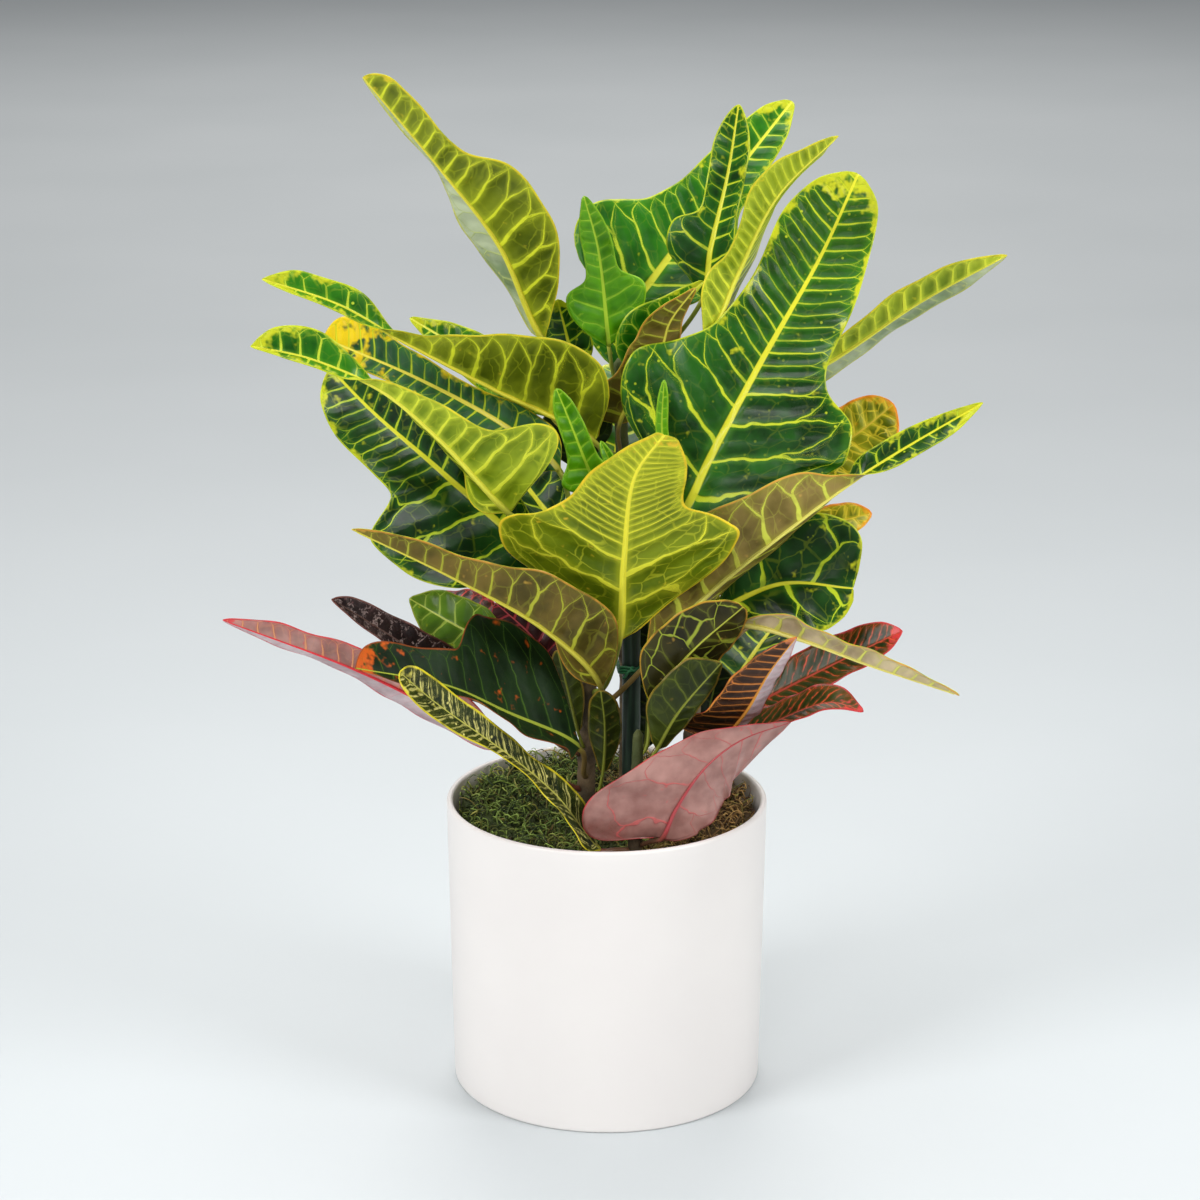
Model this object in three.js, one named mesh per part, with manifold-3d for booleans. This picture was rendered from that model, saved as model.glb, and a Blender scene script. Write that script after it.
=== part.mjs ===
// A potted croton: a white glazed pot, soil, a moss top, four stems, a stake with its tie, and
// the leaves, each a solid of its own with its petiole. Millimetres, +Z up. The origin is the
// centre of the pot's flat base, and -Y is the front.
import * as THREE from "three";
import { mergeVertices } from "three/addons/utils/BufferGeometryUtils.js";
import Module from "manifold-3d";

const wasm = await Module();
wasm.setup();

// Pot
const POT_HEIGHT = 148;
const RIM_RADIUS = 80;
const BASE_RADIUS = 77.6;
const WALL = 3.2;
const POT_FLOOR = 6;
const LIP_RADIUS = WALL / 2;
const BASE_EDGE = 1.2;
const POT_SIDES = 48;
const LIP_STEPS = 4;

// Soil and moss
const GAP = 0.3;
const SOIL_TOP = 118;
const MOSS_TOP = 131;
const MOSS_RELIEF = 4;
const MOSS_BANK = { rise: 12, from: -30, to: 45 };
const MOSS_RINGS = 6;
const MOSS_SIDES = 30;
const CLUMPS = { alongX: 0.31, alongY: 0.27, across: 0.19, shift: 1.3, edge: 3 };
const ROOT_DEPTH = 45;
const HOLE_PLAY = 0.8;

// Stems: points on the axis from the moss up, radius at the foot and at the top
const STEMS = {
  left: { axis: [[-11, -15, 118], [-9, -15, 215], [-6, -15, 302]], foot: 5, top: 3.4 },
  tall: { axis: [[11, 12, 118], [10, 13, 240], [6, 20, 364]], foot: 5, top: 3 },
  right: { axis: [[38, 2, 118], [43, -2, 195], [50, -4, 267]], foot: 4.6, top: 3 },
  front: { axis: [[13, -52, 118], [14, -51, 160], [15, -49, 197]], foot: 4, top: 2.6 },
};
const STEM_SIDES = 8;
const STEM_STEPS = 7;
const ROOT_SHARE = 0.8;
const CROWN_SHARE = 0.4;

// Stake and tie
const STAKE = { x: 12, y: -12, radius: 4.8, top: 252, foot: 55, chamfer: 1, sides: 10 };
const TIE = { z: 219, height: 2.4, thick: 1.4, play: 0.6, tail: 4, tilt: 0.35, apart: 0.4, segments: 8 };

// Leaves
const BLADE = 0.8;
const RIDGE = { foot: 1.2, tip: 0.4 };
const PETIOLE = { radius: 1.7, reach: 7, rise: 4, share: 0.4, arc: 0.4, rings: 3 };
const FOLD_FULL = 0.125;
const WAVE_SHIFT = 1.5;
const LEAN = 0.42;
const CLOSEST_STATIONS = 0.045;
const WIDEST_STATIONS = 0.2;
const PATH_STEPS = 40;
const HALVINGS = 30;

const FINISHES = {
  green: { color: 0x245a1e, roughness: 0.35 },
  young: { color: 0x5f9a1a, roughness: 0.4 },
  olive: { color: 0x6c7420, roughness: 0.45 },
  bronze: { color: 0x5e5128, roughness: 0.45 },
  dark: { color: 0x26301c, roughness: 0.35 },
  mauve: { color: 0x7d5a58, roughness: 0.4 },
  orange: { color: 0x8a5a22, roughness: 0.4 },
  variegated: { color: 0x8f9420, roughness: 0.4 },
};

// One row a leaf. stem and z: where the petiole leaves its stem. rib: the midrib from the foot
// of the blade to the tip. face: where the upper side looks, at the foot and, where the blade
// twists, at the tip. right and left: the half widths, as [share of the length, millimetres],
// seen on the upper side with the tip up. fold: how far each half is turned up, in degrees.
// wave: height of the margin's wave, and the number of waves. twist: between which shares of the
// length the face turns. lean: how far the side veins lean to the tip, where it isn't LEAN. small
// leaves have fewer faces.
const LEAVES = {
  crown_tall: {
    finish: "olive", stem: "tall", z: 348,
    rib: [[-30, 8, 378], [-51, -8, 427], [-77, -28, 466], [-111, -45, 511]],
    face: [[0.3, 0.88, 0.35]], fold: [15, 6], wave: [2, 2],
    right: [[0, 3], [0.15, 8], [0.3, 15], [0.42, 13], [0.54, 8], [0.64, 4], [0.85, 3], [1, 1]],
    left: [[0, 3], [0.12, 20], [0.34, 32], [0.5, 29], [0.63, 15], [0.78, 14], [0.92, 12], [1, 3]],
  },
  crown_young: {
    finish: "young", stem: "tall", z: 356,
    rib: [[1, 13, 374], [-4, 10, 421], [-11, 2, 449]],
    face: [[0.1, -0.9, 0.3]], fold: [18, 12], wave: [1, 2],
    right: [[0, 3], [0.16, 20], [0.3, 21], [0.44, 8], [0.7, 7], [0.9, 4], [1, 1]],
    left: [[0, 3], [0.14, 19], [0.26, 20], [0.4, 8], [0.7, 8], [0.9, 4], [1, 1]],
  },
  crown_back: {
    finish: "green", stem: "tall", z: 352,
    rib: [[9, 38, 381], [26, 48, 405], [67, 72, 453], [92, 88, 482]],
    face: [[-0.1, -0.85, 0.5]], fold: [15, 8], wave: [2, 1.5],
    right: [[0, 3], [0.12, 30], [0.35, 26], [0.52, 15], [0.8, 12], [1, 2]],
    left: [[0, 3], [0.03, 42], [0.1, 48], [0.2, 41], [0.34, 26], [0.52, 18], [0.7, 15], [0.88, 11],
      [1, 2]],
  },
  crown_upright: {
    finish: "green", stem: "tall", z: 355,
    rib: [[46, 14, 397], [50, 16, 421], [58, 22, 456], [63, 26, 489]],
    face: [[-0.15, -0.95, 0.1]], fold: [40, 6], wave: [1, 2],
    right: [[0, 3], [0.15, 17], [0.4, 12], [0.72, 12], [0.9, 7], [1, 1]],
    left: [[0, 3], [0.14, 21], [0.27, 22], [0.4, 9], [0.72, 10], [0.9, 6], [1, 1]],
  },
  crown_diagonal: {
    finish: "olive", stem: "tall", z: 346,
    rib: [[47, 4, 377], [62, 4, 410], [80, -16, 452], [106, -36, 483]],
    face: [[-0.3, 0.85, 0.3]], fold: [5, 48], wave: [1.5, 2],
    right: [[0, 3], [0.15, 15], [0.4, 10], [0.68, 14], [0.86, 9], [1, 1]],
    left: [[0, 3], [0.15, 19], [0.4, 17], [0.6, 22], [0.86, 11], [1, 1]],
  },
  great_right: {
    finish: "green", stem: "tall", z: 268,
    rib: [[36, -18, 298], [50, -13, 326], [73, -2, 368], [103, 16, 418], [121, 30, 455]],
    face: [[-0.1, -0.95, 0.3]], fold: [8, 10], wave: [3, 2],
    right: [[0, 3], [0.06, 42], [0.16, 60], [0.28, 55], [0.38, 35], [0.46, 29], [0.6, 27], [0.75, 22],
      [0.9, 16], [1, 2]],
    left: [[0, 3], [0.06, 44], [0.18, 57], [0.31, 40], [0.42, 28], [0.56, 24], [0.74, 27], [0.9, 18], [1, 3]],
  },
  far_right: {
    finish: "olive", stem: "tall", z: 296,
    rib: [[66, 50, 334], [112, 58, 357], [156, 62, 386], [198, 60, 410]],
    face: [[-0.35, 0.9, 0.25]], fold: [5, 20], wave: [1, 2],
    right: [[0, 3], [0.2, 15], [0.35, 10], [0.55, 12], [0.8, 11], [1, 1]],
    left: [[0, 3], [0.2, 12], [0.5, 10], [0.8, 9], [1, 1]],
  },
  edge_yellow: {
    finish: "orange", stem: "right", z: 258,
    rib: [[82, 22, 302], [122, 28, 326], [141, 28, 342]],
    face: [[0, -0.8, 0.5]], fold: [10, 10], wave: [1, 1],
    right: [[0, 3], [0.3, 20], [0.7, 18], [0.92, 8], [1, 1]],
    left: [[0, 3], [0.3, 18], [0.7, 15], [0.92, 8], [1, 1]],
  },
  edge_small: {
    finish: "orange", stem: "right", z: 250, small: true,
    rib: [[87, -2, 279], [108, 0, 288], [129, 0, 294]],
    face: [[0, -0.7, 0.7]], fold: [15, 15], wave: [0, 1],
    right: [[0, 3], [0.3, 12], [0.75, 9], [1, 1]],
    left: [[0, 3], [0.3, 10], [0.75, 8], [1, 1]],
  },
  crown_folded: {
    finish: "green", stem: "tall", z: 340,
    rib: [[12, 10, 361], [20, 10, 381], [32, 8, 394], [46, 3, 408]],
    face: [[0.1, -0.9, 0.3]], fold: [20, 20], wave: [0, 1],
    right: [[0, 3], [0.2, 8], [0.5, 6], [1, 1]],
    left: [[0, 3], [0.1, 14], [0.3, 15], [0.55, 9], [0.8, 5], [1, 1]],
  },
  crown_bronze: {
    finish: "bronze", stem: "tall", z: 318, lean: -0.1,
    rib: [[6, 4, 338], [26, 2, 375], [30, -2, 389], [42, -8, 407]],
    face: [[-0.1, 0.9, 0.4]], fold: [5, 20], wave: [0, 1],
    right: [[0, 12], [0.05, 44], [0.12, 34], [0.2, 16], [0.28, 13], [0.45, 15], [0.65, 13], [0.85, 6],
      [1, 1]],
    left: [[0, 3], [0.1, 10], [0.25, 11], [0.4, 9], [0.6, 9], [0.85, 5], [1, 1]],
  },
  front_fiddle: {
    finish: "olive", stem: "left", z: 208,
    rib: [[6, -32, 239], [8, -52, 285], [13, -70, 331], [26, -78, 352]],
    face: [[0, 0.9, 0.4]], fold: [6, 6], wave: [2, 2],
    right: [[0, 3], [0.1, 26], [0.22, 56], [0.34, 60], [0.46, 40], [0.56, 28], [0.7, 20], [0.88, 9], [1, 3]],
    left: [[0, 3], [0.1, 22], [0.22, 50], [0.34, 55], [0.46, 40], [0.56, 26], [0.7, 25], [0.88, 18], [1, 5]],
  },
  front_left_low: {
    finish: "bronze", stem: "left", z: 190,
    rib: [[-3, -34, 216], [-29, -58, 252], [-71, -80, 284], [-117, -92, 311]],
    face: [[-0.2, 0.75, 0.6]], fold: [62, 12], wave: [1, 2],
    right: [[0, 4], [0.15, 24], [0.4, 22], [0.6, 14], [0.82, 10], [1, 1]],
    left: [[0, 4], [0.15, 28], [0.36, 26], [0.58, 15], [0.82, 10], [1, 1]],
  },
  long_right: {
    finish: "bronze", stem: "left", z: 200,
    rib: [[20, -29, 227], [44, -33, 258], [86, -42, 297], [125, -42, 327], [177, -34, 357]],
    face: [[0.1, 0.85, 0.5], [0, -0.6, 0.8]], twist: [0.56, 0.76], fold: [10, 50], wave: [1, 2],
    right: [[0, 4], [0.12, 20], [0.27, 33], [0.42, 27], [0.54, 20], [0.62, 8], [0.67, 6],
      [0.72, 7], [0.86, 8], [1, 1]],
    left: [[0, 4], [0.14, 22], [0.32, 26], [0.48, 20], [0.62, 10], [0.82, 8], [1, 1]],
  },
  dark_right: {
    finish: "dark", stem: "right", z: 244,
    rib: [[54, -9, 247], [85, -13, 262], [119, -21, 262]],
    face: [[0, -0.85, 0.5]], fold: [8, 20], wave: [1, 1],
    right: [[0, 3], [0.3, 23], [0.62, 25], [0.88, 16], [1, 4]],
    left: [[0, 3], [0.3, 28], [0.62, 34], [0.86, 26], [0.97, 13], [1, 4]],
  },
  great_left: {
    finish: "dark", stem: "left", z: 250,
    rib: [[-30, -13, 270], [-79, -28, 322], [-111, -34, 353], [-130, -36, 374]],
    face: [[0.1, -0.85, 0.5]], fold: [25, 6], wave: [2, 2],
    right: [[0, 3], [0.15, 14], [0.28, 18], [0.44, 18], [0.6, 13], [0.8, 13], [1, 1]],
    left: [[0, 3], [0.05, 30], [0.14, 44], [0.25, 50], [0.36, 51], [0.46, 49], [0.5, 27], [0.58, 24],
      [0.79, 21], [0.91, 15], [1, 2]],
  },
  twist_left: {
    finish: "young", stem: "left", z: 276,
    rib: [[-46, -40, 305], [-78, -62, 346], [-104, -74, 372], [-135, -80, 388], [-162, -80, 394]],
    face: [[-0.1, 0.8, 0.55], [0.1, -0.5, 0.85]], twist: [0.56, 0.76], fold: [55, 8],
    wave: [1, 2], lean: 0.22,
    right: [[0, 4], [0.08, 18], [0.25, 16], [0.5, 8], [0.66, 5], [0.8, 14], [0.92, 12], [1, 1]],
    left: [[0, 8], [0.04, 40], [0.1, 46], [0.17, 42], [0.25, 22], [0.37, 16], [0.5, 10], [0.64, 5],
      [0.84, 5], [1, 1]],
  },
  twist_upper_left: {
    finish: "olive", stem: "tall", z: 310,
    rib: [[-6, -2, 331], [-55, -28, 363], [-96, -48, 390], [-123, -56, 408], [-158, -60, 421]],
    face: [[-0.1, 0.8, 0.55], [0.1, -0.5, 0.85]], twist: [0.56, 0.76], fold: [55, 8], wave: [1, 2],
    right: [[0, 4], [0.1, 12], [0.3, 10], [0.5, 6], [0.65, 5], [0.76, 10], [0.88, 10], [1, 1]],
    left: [[0, 10], [0.07, 38], [0.18, 40], [0.34, 30], [0.46, 18], [0.58, 7], [0.74, 5], [0.88, 5], [1, 1]],
  },
  yellow_tip: {
    finish: "variegated", stem: "left", z: 290,
    rib: [[-23, -14, 319], [-46, -18, 340], [-89, -24, 366], [-134, -28, 387]],
    face: [[0.1, -0.8, 0.6]], fold: [20, 15], wave: [1, 2],
    right: [[0, 4], [0.07, 13], [0.2, 13], [0.3, 11], [0.42, 9], [0.66, 11], [0.84, 16], [0.94, 12], [1, 1]],
    left: [[0, 4], [0.08, 25], [0.22, 23], [0.34, 13], [0.68, 9], [0.88, 8], [1, 1]],
  },
  peek_left: {
    finish: "green", stem: "tall", z: 318,
    rib: [[-23, 34, 335], [-62, 34, 362], [-96, 28, 385]],
    face: [[0, -0.8, 0.6]], fold: [12, 12], wave: [1, 1],
    right: [[0, 3], [0.25, 14], [0.65, 11], [1, 1]],
    left: [[0, 3], [0.25, 14], [0.65, 11], [1, 1]],
  },
  crown_shadow: {
    finish: "dark", stem: "tall", z: 336, small: true,
    rib: [[-14, 18, 353], [-19, 18, 376], [-24, 14, 397]],
    face: [[0.1, -0.9, 0.3]], fold: [15, 15], wave: [0, 1],
    right: [[0, 3], [0.3, 12], [0.65, 10], [1, 1]],
    left: [[0, 3], [0.3, 12], [0.65, 10], [1, 1]],
  },
  shoot: {
    finish: "young", stem: "left", z: 290,
    rib: [[-3, -25, 307], [-10, -27, 326], [-17, -29, 345], [-24, -30, 363]],
    face: [[0.1, -0.95, 0.2]], fold: [22, 15], wave: [0, 1],
    right: [[0, 2], [0.15, 11], [0.3, 7], [0.6, 6.5], [0.85, 5], [1, 1]],
    left: [[0, 2], [0.08, 14], [0.18, 17], [0.32, 9], [0.5, 7], [0.8, 6], [1, 1]],
  },
  bud: {
    finish: "young", stem: "left", z: 300, small: true,
    rib: [[6, -27, 311], [3, -31, 324], [-3, -32, 338]],
    face: [[0, -1, 0.1]], fold: [35, 35], wave: [0, 1],
    right: [[0, 2], [0.4, 4], [0.8, 3], [1, 0.8]],
    left: [[0, 2], [0.4, 4], [0.8, 3], [1, 0.8]],
  },
  needle: {
    finish: "young", stem: "left", z: 288, small: true,
    rib: [[27, -23, 320], [26, -24, 344], [27, -25, 366]],
    face: [[0, -1, 0.1]], fold: [30, 30], wave: [0, 1],
    right: [[0, 2], [0.4, 3.5], [0.8, 3], [1, 0.8]],
    left: [[0, 2], [0.4, 3.5], [0.8, 3], [1, 0.8]],
  },
  low_left_green: {
    finish: "green", stem: "left", z: 205,
    rib: [[-42, -20, 225], [-76, -28, 247], [-95, -32, 260]],
    face: [[0, -0.7, 0.7]], fold: [15, 15], wave: [1, 1],
    right: [[0, 3], [0.35, 15], [0.7, 13], [1, 1]],
    left: [[0, 3], [0.35, 17], [0.7, 15], [1, 1]],
  },
  low_left_black: {
    finish: "dark", stem: "left", z: 176,
    rib: [[-42, -30, 200], [-80, -48, 230], [-107, -60, 253], [-129, -70, 271]],
    face: [[0, -0.7, 0.7]], fold: [35, 35], wave: [1, 2],
    right: [[0, 3], [0.3, 13], [0.7, 9], [0.9, 7], [1, 1]],
    left: [[0, 3], [0.3, 13], [0.7, 9], [0.9, 6], [1, 1]],
  },
  low_left_great: {
    finish: "dark", stem: "left", z: 165,
    rib: [[-13, -42, 188], [-48, -66, 214], [-75, -84, 233], [-116, -104, 248]],
    face: [[0.1, -0.65, 0.75]], fold: [8, 40], wave: [2, 2],
    right: [[0, 3], [0.04, 28], [0.1, 40], [0.25, 47], [0.38, 45], [0.48, 36], [0.56, 19], [0.7, 16],
      [0.84, 17], [0.93, 12], [1, 1]],
    left: [[0, 3], [0.1, 22], [0.3, 25], [0.52, 14], [0.72, 12], [0.88, 8], [1, 1]],
  },
  folded_variegated: {
    finish: "variegated", stem: "front", z: 139,
    rib: [[-3, -62, 143], [-24, -70, 173], [-44, -82, 196], [-80, -104, 232], [-95, -113, 249]],
    face: [[0.75, -0.35, 0.55], [0.2, -0.75, 0.6]], twist: [0.3, 0.75], fold: [25, 20], wave: [1, 2],
    right: [[0, 3], [0.15, 10], [0.4, 8], [0.6, 8], [0.82, 9], [0.94, 8], [1, 3]],
    left: [[0, 3], [0.08, 15], [0.2, 15], [0.36, 8], [0.52, 6], [0.8, 9], [0.94, 8], [1, 3]],
  },
  long_left: {
    finish: "mauve", stem: "left", z: 158,
    rib: [[-51, -50, 189], [-80, -60, 213], [-118, -69, 236], [-179, -80, 264]],
    face: [[-0.1, 0.8, 0.6]], fold: [15, 8], wave: [1, 2],
    right: [[0, 3], [0.2, 14], [0.5, 9], [0.8, 6], [1, 1]],
    left: [[0, 3], [0.2, 16], [0.5, 13], [0.8, 11], [1, 1]],
  },
  rim_mauve: {
    finish: "mauve", stem: "front", z: 142,
    rib: [[26, -60, 148], [33, -62, 164], [47, -62, 185], [64, -60, 198], [88, -54, 205]],
    face: [[-0.2, 0.85, 0.4]], fold: [6, 10], wave: [2, 2], lean: -0.45,
    right: [[0, 10], [0.05, 29], [0.12, 38], [0.22, 43], [0.34, 40], [0.46, 28], [0.6, 18], [0.74, 10], [1, 1]],
    left: [[0, 3], [0.1, 16], [0.3, 25], [0.5, 33], [0.7, 35], [0.86, 26], [1, 2]],
  },
  orange_veined: {
    finish: "orange", stem: "front", z: 172,
    rib: [[53, -40, 190], [65, -53, 208], [77, -72, 237], [88, -84, 257]],
    face: [[-0.3, 0.85, 0.35]], fold: [10, 25], wave: [1, 2], lean: -0.3,
    right: [[0, 8], [0.1, 26], [0.35, 20], [0.7, 14], [0.9, 8], [1, 1]],
    left: [[0, 4], [0.2, 14], [0.5, 13], [0.8, 9], [1, 1]],
  },
  red_lower: {
    finish: "mauve", stem: "right", z: 156,
    rib: [[50, -28, 181], [78, -38, 198], [107, -46, 212], [123, -50, 209]],
    face: [[-0.1, -0.35, 0.93]], fold: [15, 15], wave: [1, 1],
    right: [[0, 3], [0.3, 10], [0.7, 8], [1, 1]],
    left: [[0, 3], [0.3, 12], [0.7, 12], [1, 1]],
  },
  red_upper: {
    finish: "dark", stem: "right", z: 172,
    rib: [[56, -12, 190], [76, -16, 203], [113, -22, 225], [143, -26, 242]],
    face: [[-0.1, -0.6, 0.8]], fold: [15, 15], wave: [1, 2],
    right: [[0, 3], [0.25, 12], [0.6, 13], [0.85, 10], [1, 1]],
    left: [[0, 3], [0.25, 12], [0.6, 14], [0.85, 11], [1, 1]],
  },
  olive_pointer: {
    finish: "olive", stem: "right", z: 228,
    rib: [[66, -44, 251], [91, -64, 250], [123, -84, 243], [163, -98, 233]],
    face: [[0.1, 0.75, 0.65]], fold: [10, 55], wave: [1, 2],
    right: [[0, 3], [0.2, 15], [0.5, 11], [0.8, 7], [1, 1]],
    left: [[0, 3], [0.2, 13], [0.5, 10], [0.8, 7], [1, 1]],
  },
  front_cells: {
    finish: "bronze", stem: "front", z: 188,
    rib: [[22, -52, 213], [39, -60, 241], [64, -62, 265]],
    face: [[-0.1, 0.9, 0.4]], fold: [10, 15], wave: [1, 1],
    right: [[0, 3], [0.25, 20], [0.6, 19], [0.88, 10], [1, 2]],
    left: [[0, 3], [0.25, 18], [0.6, 17], [0.88, 10], [1, 2]],
  },
  front_low: {
    finish: "olive", stem: "front", z: 180, small: true,
    rib: [[24, -56, 192], [34, -63, 213], [54, -64, 238]],
    face: [[0, 0.9, 0.4]], fold: [15, 15], wave: [0, 1],
    right: [[0, 3], [0.3, 16], [0.7, 15], [1, 1]],
    left: [[0, 3], [0.3, 9], [0.7, 8], [1, 1]],
  },
  inner_narrow: {
    finish: "dark", stem: "left", z: 180, small: true,
    rib: [[-14, -25, 190], [-19, -27, 212], [-24, -28, 233]],
    face: [[0, 0.9, 0.4]], fold: [20, 20], wave: [0, 1],
    right: [[0, 2], [0.4, 8], [0.8, 6], [1, 1]],
    left: [[0, 2], [0.4, 8], [0.8, 6], [1, 1]],
  },
  inner_dark: {
    finish: "dark", stem: "left", z: 150, small: true,
    rib: [[-2, -34, 172], [-1, -40, 198], [-3, -45, 218]],
    face: [[0, 0.9, 0.4]], fold: [20, 20], wave: [0, 1],
    right: [[0, 2], [0.4, 9], [0.8, 7], [1, 1]],
    left: [[0, 2], [0.4, 9], [0.8, 7], [1, 1]],
  },
  inner_left: {
    finish: "dark", stem: "tall", z: 302, small: true,
    rib: [[-9, 16, 312], [-14, 15, 330], [-18, 14, 348]],
    face: [[0, -0.95, 0.2]], fold: [8, 8], wave: [0, 1],
    right: [[0, 3], [0.3, 18], [0.7, 15], [1, 1]],
    left: [[0, 3], [0.3, 18], [0.7, 15], [1, 1]],
  },
  inner_middle: {
    finish: "dark", stem: "tall", z: 180, small: true,
    rib: [[19, 26, 164], [21, 27, 198], [21, 27, 240]],
    face: [[0, -0.95, 0.2]], fold: [10, 10], wave: [0, 1],
    right: [[0, 3], [0.25, 19], [0.7, 18], [1, 1]],
    left: [[0, 2], [0.25, 7], [0.45, 6], [0.75, 16], [1, 1]],
  },
  inner_right: {
    finish: "dark", stem: "right", z: 150, small: true,
    rib: [[49, 4, 180], [52, 5.5, 196], [56, 6.5, 214]],
    face: [[0, -0.95, 0.2]], fold: [12, 12], wave: [0, 1],
    right: [[0, 3], [0.3, 13], [0.7, 11], [1, 1]],
    left: [[0, 3], [0.16, 13], [0.5, 14], [0.75, 11], [1, 1]],
  },
  maroon_left: {
    finish: "dark", stem: "left", z: 196,
    rib: [[-26, -2, 210], [-36, 2, 229], [-55, 8, 246]],
    face: [[0.1, -0.8, 0.6]], fold: [15, 15], wave: [0, 1],
    right: [[0, 3], [0.35, 16], [0.75, 13], [1, 1]],
    left: [[0, 3], [0.35, 16], [0.75, 13], [1, 1]],
  },
  back_high: {
    finish: "green", stem: "tall", z: 340,
    rib: [[8, 50, 352], [20, 84, 392], [38, 106, 420]],
    face: [[0, -0.7, 0.7]], fold: [15, 15], wave: [2, 2],
    right: [[0, 3], [0.12, 26], [0.34, 24], [0.52, 13], [0.8, 13], [1, 1]],
    left: [[0, 3], [0.12, 26], [0.34, 24], [0.52, 13], [0.8, 13], [1, 1]],
  },
  back_right_high: {
    finish: "green", stem: "tall", z: 312,
    rib: [[34, 46, 322], [66, 84, 358], [88, 112, 376]],
    face: [[-0.3, -0.4, 0.85]], fold: [15, 15], wave: [2, 2],
    right: [[0, 3], [0.12, 24], [0.34, 22], [0.52, 13], [0.8, 12], [1, 1]],
    left: [[0, 3], [0.12, 24], [0.34, 22], [0.52, 13], [0.8, 12], [1, 1]],
  },
  back_middle: {
    finish: "olive", stem: "tall", z: 276,
    rib: [[4, 50, 290], [8, 100, 326], [10, 136, 340]],
    face: [[0, -0.5, 0.85]], fold: [12, 12], wave: [2, 2],
    right: [[0, 3], [0.12, 30], [0.34, 27], [0.52, 15], [0.8, 14], [1, 1]],
    left: [[0, 3], [0.12, 30], [0.34, 27], [0.52, 15], [0.8, 14], [1, 1]],
  },
  back_left_high: {
    finish: "dark", stem: "tall", z: 262,
    rib: [[-24, 44, 276], [-60, 80, 310], [-88, 104, 322]],
    face: [[0.3, -0.4, 0.85]], fold: [15, 15], wave: [2, 2],
    right: [[0, 3], [0.14, 22], [0.34, 21], [0.52, 12], [0.8, 12], [1, 1]],
    left: [[0, 3], [0.14, 22], [0.34, 21], [0.52, 12], [0.8, 12], [1, 1]],
  },
  back_left: {
    finish: "dark", stem: "left", z: 240,
    rib: [[-38, 16, 252], [-78, 38, 284], [-108, 52, 296]],
    face: [[0.4, -0.3, 0.85]], fold: [15, 15], wave: [2, 2],
    right: [[0, 3], [0.14, 22], [0.34, 20], [0.52, 12], [0.8, 12], [1, 1]],
    left: [[0, 3], [0.14, 22], [0.34, 20], [0.52, 12], [0.8, 12], [1, 1]],
  },
  back_right: {
    finish: "orange", stem: "right", z: 214,
    rib: [[74, 24, 232], [104, 50, 256], [126, 68, 262]],
    face: [[-0.4, -0.3, 0.85]], fold: [15, 15], wave: [2, 2],
    right: [[0, 3], [0.14, 24], [0.34, 22], [0.52, 13], [0.8, 12], [1, 1]],
    left: [[0, 3], [0.14, 24], [0.34, 22], [0.52, 13], [0.8, 12], [1, 1]],
  },
  back_low_middle: {
    finish: "dark", stem: "tall", z: 196,
    rib: [[6, 52, 212], [4, 100, 238], [0, 134, 240]],
    face: [[0, -0.3, 0.95]], fold: [12, 12], wave: [2, 2],
    right: [[0, 3], [0.12, 30], [0.34, 27], [0.52, 15], [0.8, 14], [1, 1]],
    left: [[0, 3], [0.12, 30], [0.34, 27], [0.52, 15], [0.8, 14], [1, 1]],
  },
  back_low_left: {
    finish: "mauve", stem: "left", z: 186,
    rib: [[-34, 24, 202], [-70, 64, 226], [-94, 92, 226]],
    face: [[0.2, -0.2, 0.95]], fold: [15, 15], wave: [2, 2],
    right: [[0, 3], [0.14, 22], [0.34, 20], [0.52, 12], [0.8, 12], [1, 1]],
    left: [[0, 3], [0.14, 22], [0.34, 20], [0.52, 12], [0.8, 12], [1, 1]],
  },
  back_low_right: {
    finish: "mauve", stem: "right", z: 168,
    rib: [[62, 36, 190], [88, 76, 214], [106, 104, 216]],
    face: [[-0.2, -0.2, 0.95]], fold: [15, 15], wave: [2, 2],
    right: [[0, 3], [0.14, 22], [0.34, 20], [0.52, 12], [0.8, 12], [1, 1]],
    left: [[0, 3], [0.14, 22], [0.34, 20], [0.52, 12], [0.8, 12], [1, 1]],
  },
};

const plant = new THREE.Group();

function finish(color, roughness) {
  return new THREE.MeshStandardMaterial({ color, roughness, metalness: 0 });
}

function addNode(name, geometry, material) {
  const mesh = new THREE.Mesh(geometry, material);
  mesh.name = name;
  plant.add(mesh);
}

function toSolid(geometry) {
  const bare = geometry.clone();
  bare.deleteAttribute("normal");
  bare.deleteAttribute("uv");
  const merged = mergeVertices(bare, 1e-4);
  return new wasm.Manifold(new wasm.Mesh({
    numProp: 3,
    vertProperties: new Float32Array(merged.attributes.position.array),
    triVerts: new Uint32Array(merged.index.array),
  }));
}

function toGeometry(solid) {
  const mesh = solid.getMesh();
  return meshGeometry(mesh.vertProperties, mesh.triVerts);
}

function meshGeometry(positions, triangles) {
  const geometry = new THREE.BufferGeometry();
  geometry.setAttribute("position", new THREE.Float32BufferAttribute(positions, 3));
  geometry.setIndex(Array.from(triangles));
  return geometry;
}

function standingLathe(profile, sides) {
  const points = profile.map(([r, z]) => new THREE.Vector2(r, z));
  const geometry = new THREE.LatheGeometry(points, sides);
  geometry.rotateX(Math.PI / 2);
  return geometry;
}

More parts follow.
